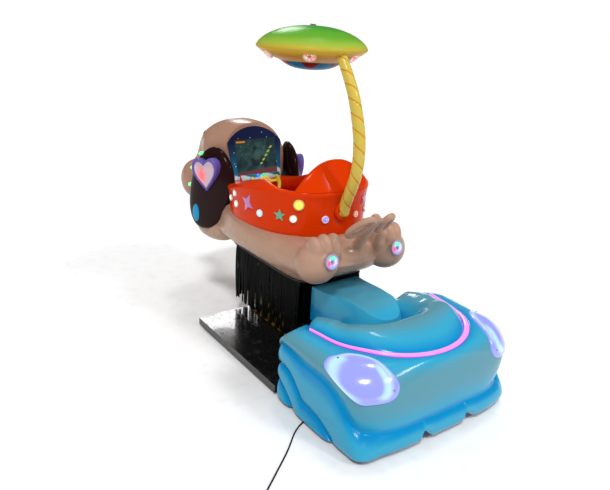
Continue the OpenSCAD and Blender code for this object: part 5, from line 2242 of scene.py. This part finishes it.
@dataclass
class Canopy(Assembly):
    """Lens-shaped canopy on a bent pole with winding grooves."""

    body = Body.RIDE
    middle_x: float = 52
    radius: float = 287
    top_z: float = 1720
    rim_z: float = 1611
    foot_x: float = -292
    pole_r: float = 29.0
    twist: float = 0.0735
    groove_deep: float = 3

    def build(self) -> None:
        """Makes the canopy's two shells, its fin and the pole."""
        self.shells()
        self.pole()

    def shells(self) -> None:
        """Makes the upper and lower shells and the small fin on top."""
        sizes = (self.middle_x, self.rim_z, self.top_z, self.radius)
        look = CanopyPaint("canopy_paint", *(size * MM for size in sizes))
        rise = self.top_z - self.rim_z
        outline = [(self.radius - 16, -9), (self.radius - 6, -6), (self.radius - 1.4, -2)]
        for k in range(40):
            share = cos(pi / 2 * k / 40)
            outline.append((self.radius * share, rise * (1 - share ** 2.2) ** 0.65 + 2 * (1 - k / 40)))
        outline.append((0.5, rise))
        place = Matrix.Translation((self.middle_x * MM, 0, self.rim_z * MM))
        top = lathe("canopy_upper", outline, place, 128)
        fin = [[(x * MM, y * MM, z * MM) for x, y in oval(a, b, 3, 20)]
               for a, b, z in ((26, 6, 100), (25, 5.5, 110), (22, 4.6, 115), (16, 3, 116.5))]
        self.fit(move(skin("canopy_fin", fin), place), FIN, "green_moulding")
        self.fit(top, look, "green_moulding", "canopy_top")
        dish = [(1.0, 0), (0.985, 6), (0.95, 15), (0.9, 26), (0.82, 38), (0.74, 49), (0.65, 60), (0.585, 67),
                (0.57, 69), (0.55, 73), (0.5, 83), (0.44, 94), (0.37, 103), (0.3, 109), (0.2, 114),
                (0.1, 116), (0.002, 116.4)]
        outside = [(r * self.radius, -d * 0.92) for r, d in dish]
        inside = [(max(r - 8, 0.5), h + 6) for r, h in reversed(outside[2:])]
        body = lathe("canopy_lower", outside + inside, place, 128)
        self.fit(body, look, "yellow_moulding", "canopy_bottom")

    def pole(self) -> None:
        """Makes the pole: a round moulding with two winding grooves and painted shade along them."""
        f = self.foot_x
        route = [(f - 2, 0, 806), (f - 6, 0, 830), (f - 13, 0, 862), (f - 27, 0, 900), (f - 50, 0, 955),
                 (f - 73, 0, 1015), (f - 86, 0, 1070), (f - 91, 0, 1119), (f - 90, 0, 1170),
                 (f - 85, 0, 1216), (f - 72, 0, 1270), (f - 54, 0, 1325), (f - 26, 0, 1397),
                 (f + 2, 0, 1450), (f + 40, 0, 1510), (f + 84, 0, 1572), (f + 104, 0, 1598)]
        path = [p * MM for p in smooth_path(route, 24)]
        run = np.concatenate([[0], np.cumsum([(b - a).length for a, b in zip(path, path[1:])])])
        fine = 40
        deep = np.array([[max(0.0, cos(2 * pi * (2 * i / fine - run[k] / self.twist)))
                          for i in range(fine)] for k in range(len(path))]) ** 18

        def section(k: int) -> list[Pair]:
            """Section of the pole.

            Args:
                k: number of the point on its path.

            Returns:
                The section's points in metres.
            """
            end = sqrt(max(0.02, 1 - (1 - min(1, run[k] / 0.02)) ** 2))
            w = k / (len(path) - 1)
            thick = self.pole_r + 1.5 * sin(pi * w) - 3 * ramp(w, 0.6, 1)
            size = [(thick - self.groove_deep * float(d)) * MM * end for d in deep[k]]
            return [(r * cos(a), r * sin(a)) for r, a in zip(size, circle(fine))]

        obj = tube("twisted_pole", path, section, (0, 1, 0))
        # Painted shade: the orange shade tone lies along the grooves.
        mark(obj, deep.ravel() ** 0.5)
        self.fit(obj, POLE, "yellow_moulding", "pole")
        flange = lathe("pole_flange", [(0.5, -6), (50, -6), (50, 6), (47, 11), (42, 13), (0.5, 13)],
                       facing(Vector((f + 2, 0, 833)) * MM, (-1, 0, 0.05)), 48)
        self.fit(flange, ORANGE, "orange_moulding", "pole_boss")


def main() -> None:
    """Builds the scene."""
    logging.basicConfig(level=logging.INFO, format="%(name)s: %(message)s")
    Studio().build()
    for assembly in (MainsLead(), TailFairing(), DriveAndDeck(), Fringe(), PuppyBody(), Head(), Screen(),
                     Lights(), Cockpit(), Canopy()):
        assembly.build()
        LOG.info("%s built", type(assembly).__name__)


if __name__ == "__main__":
    main()
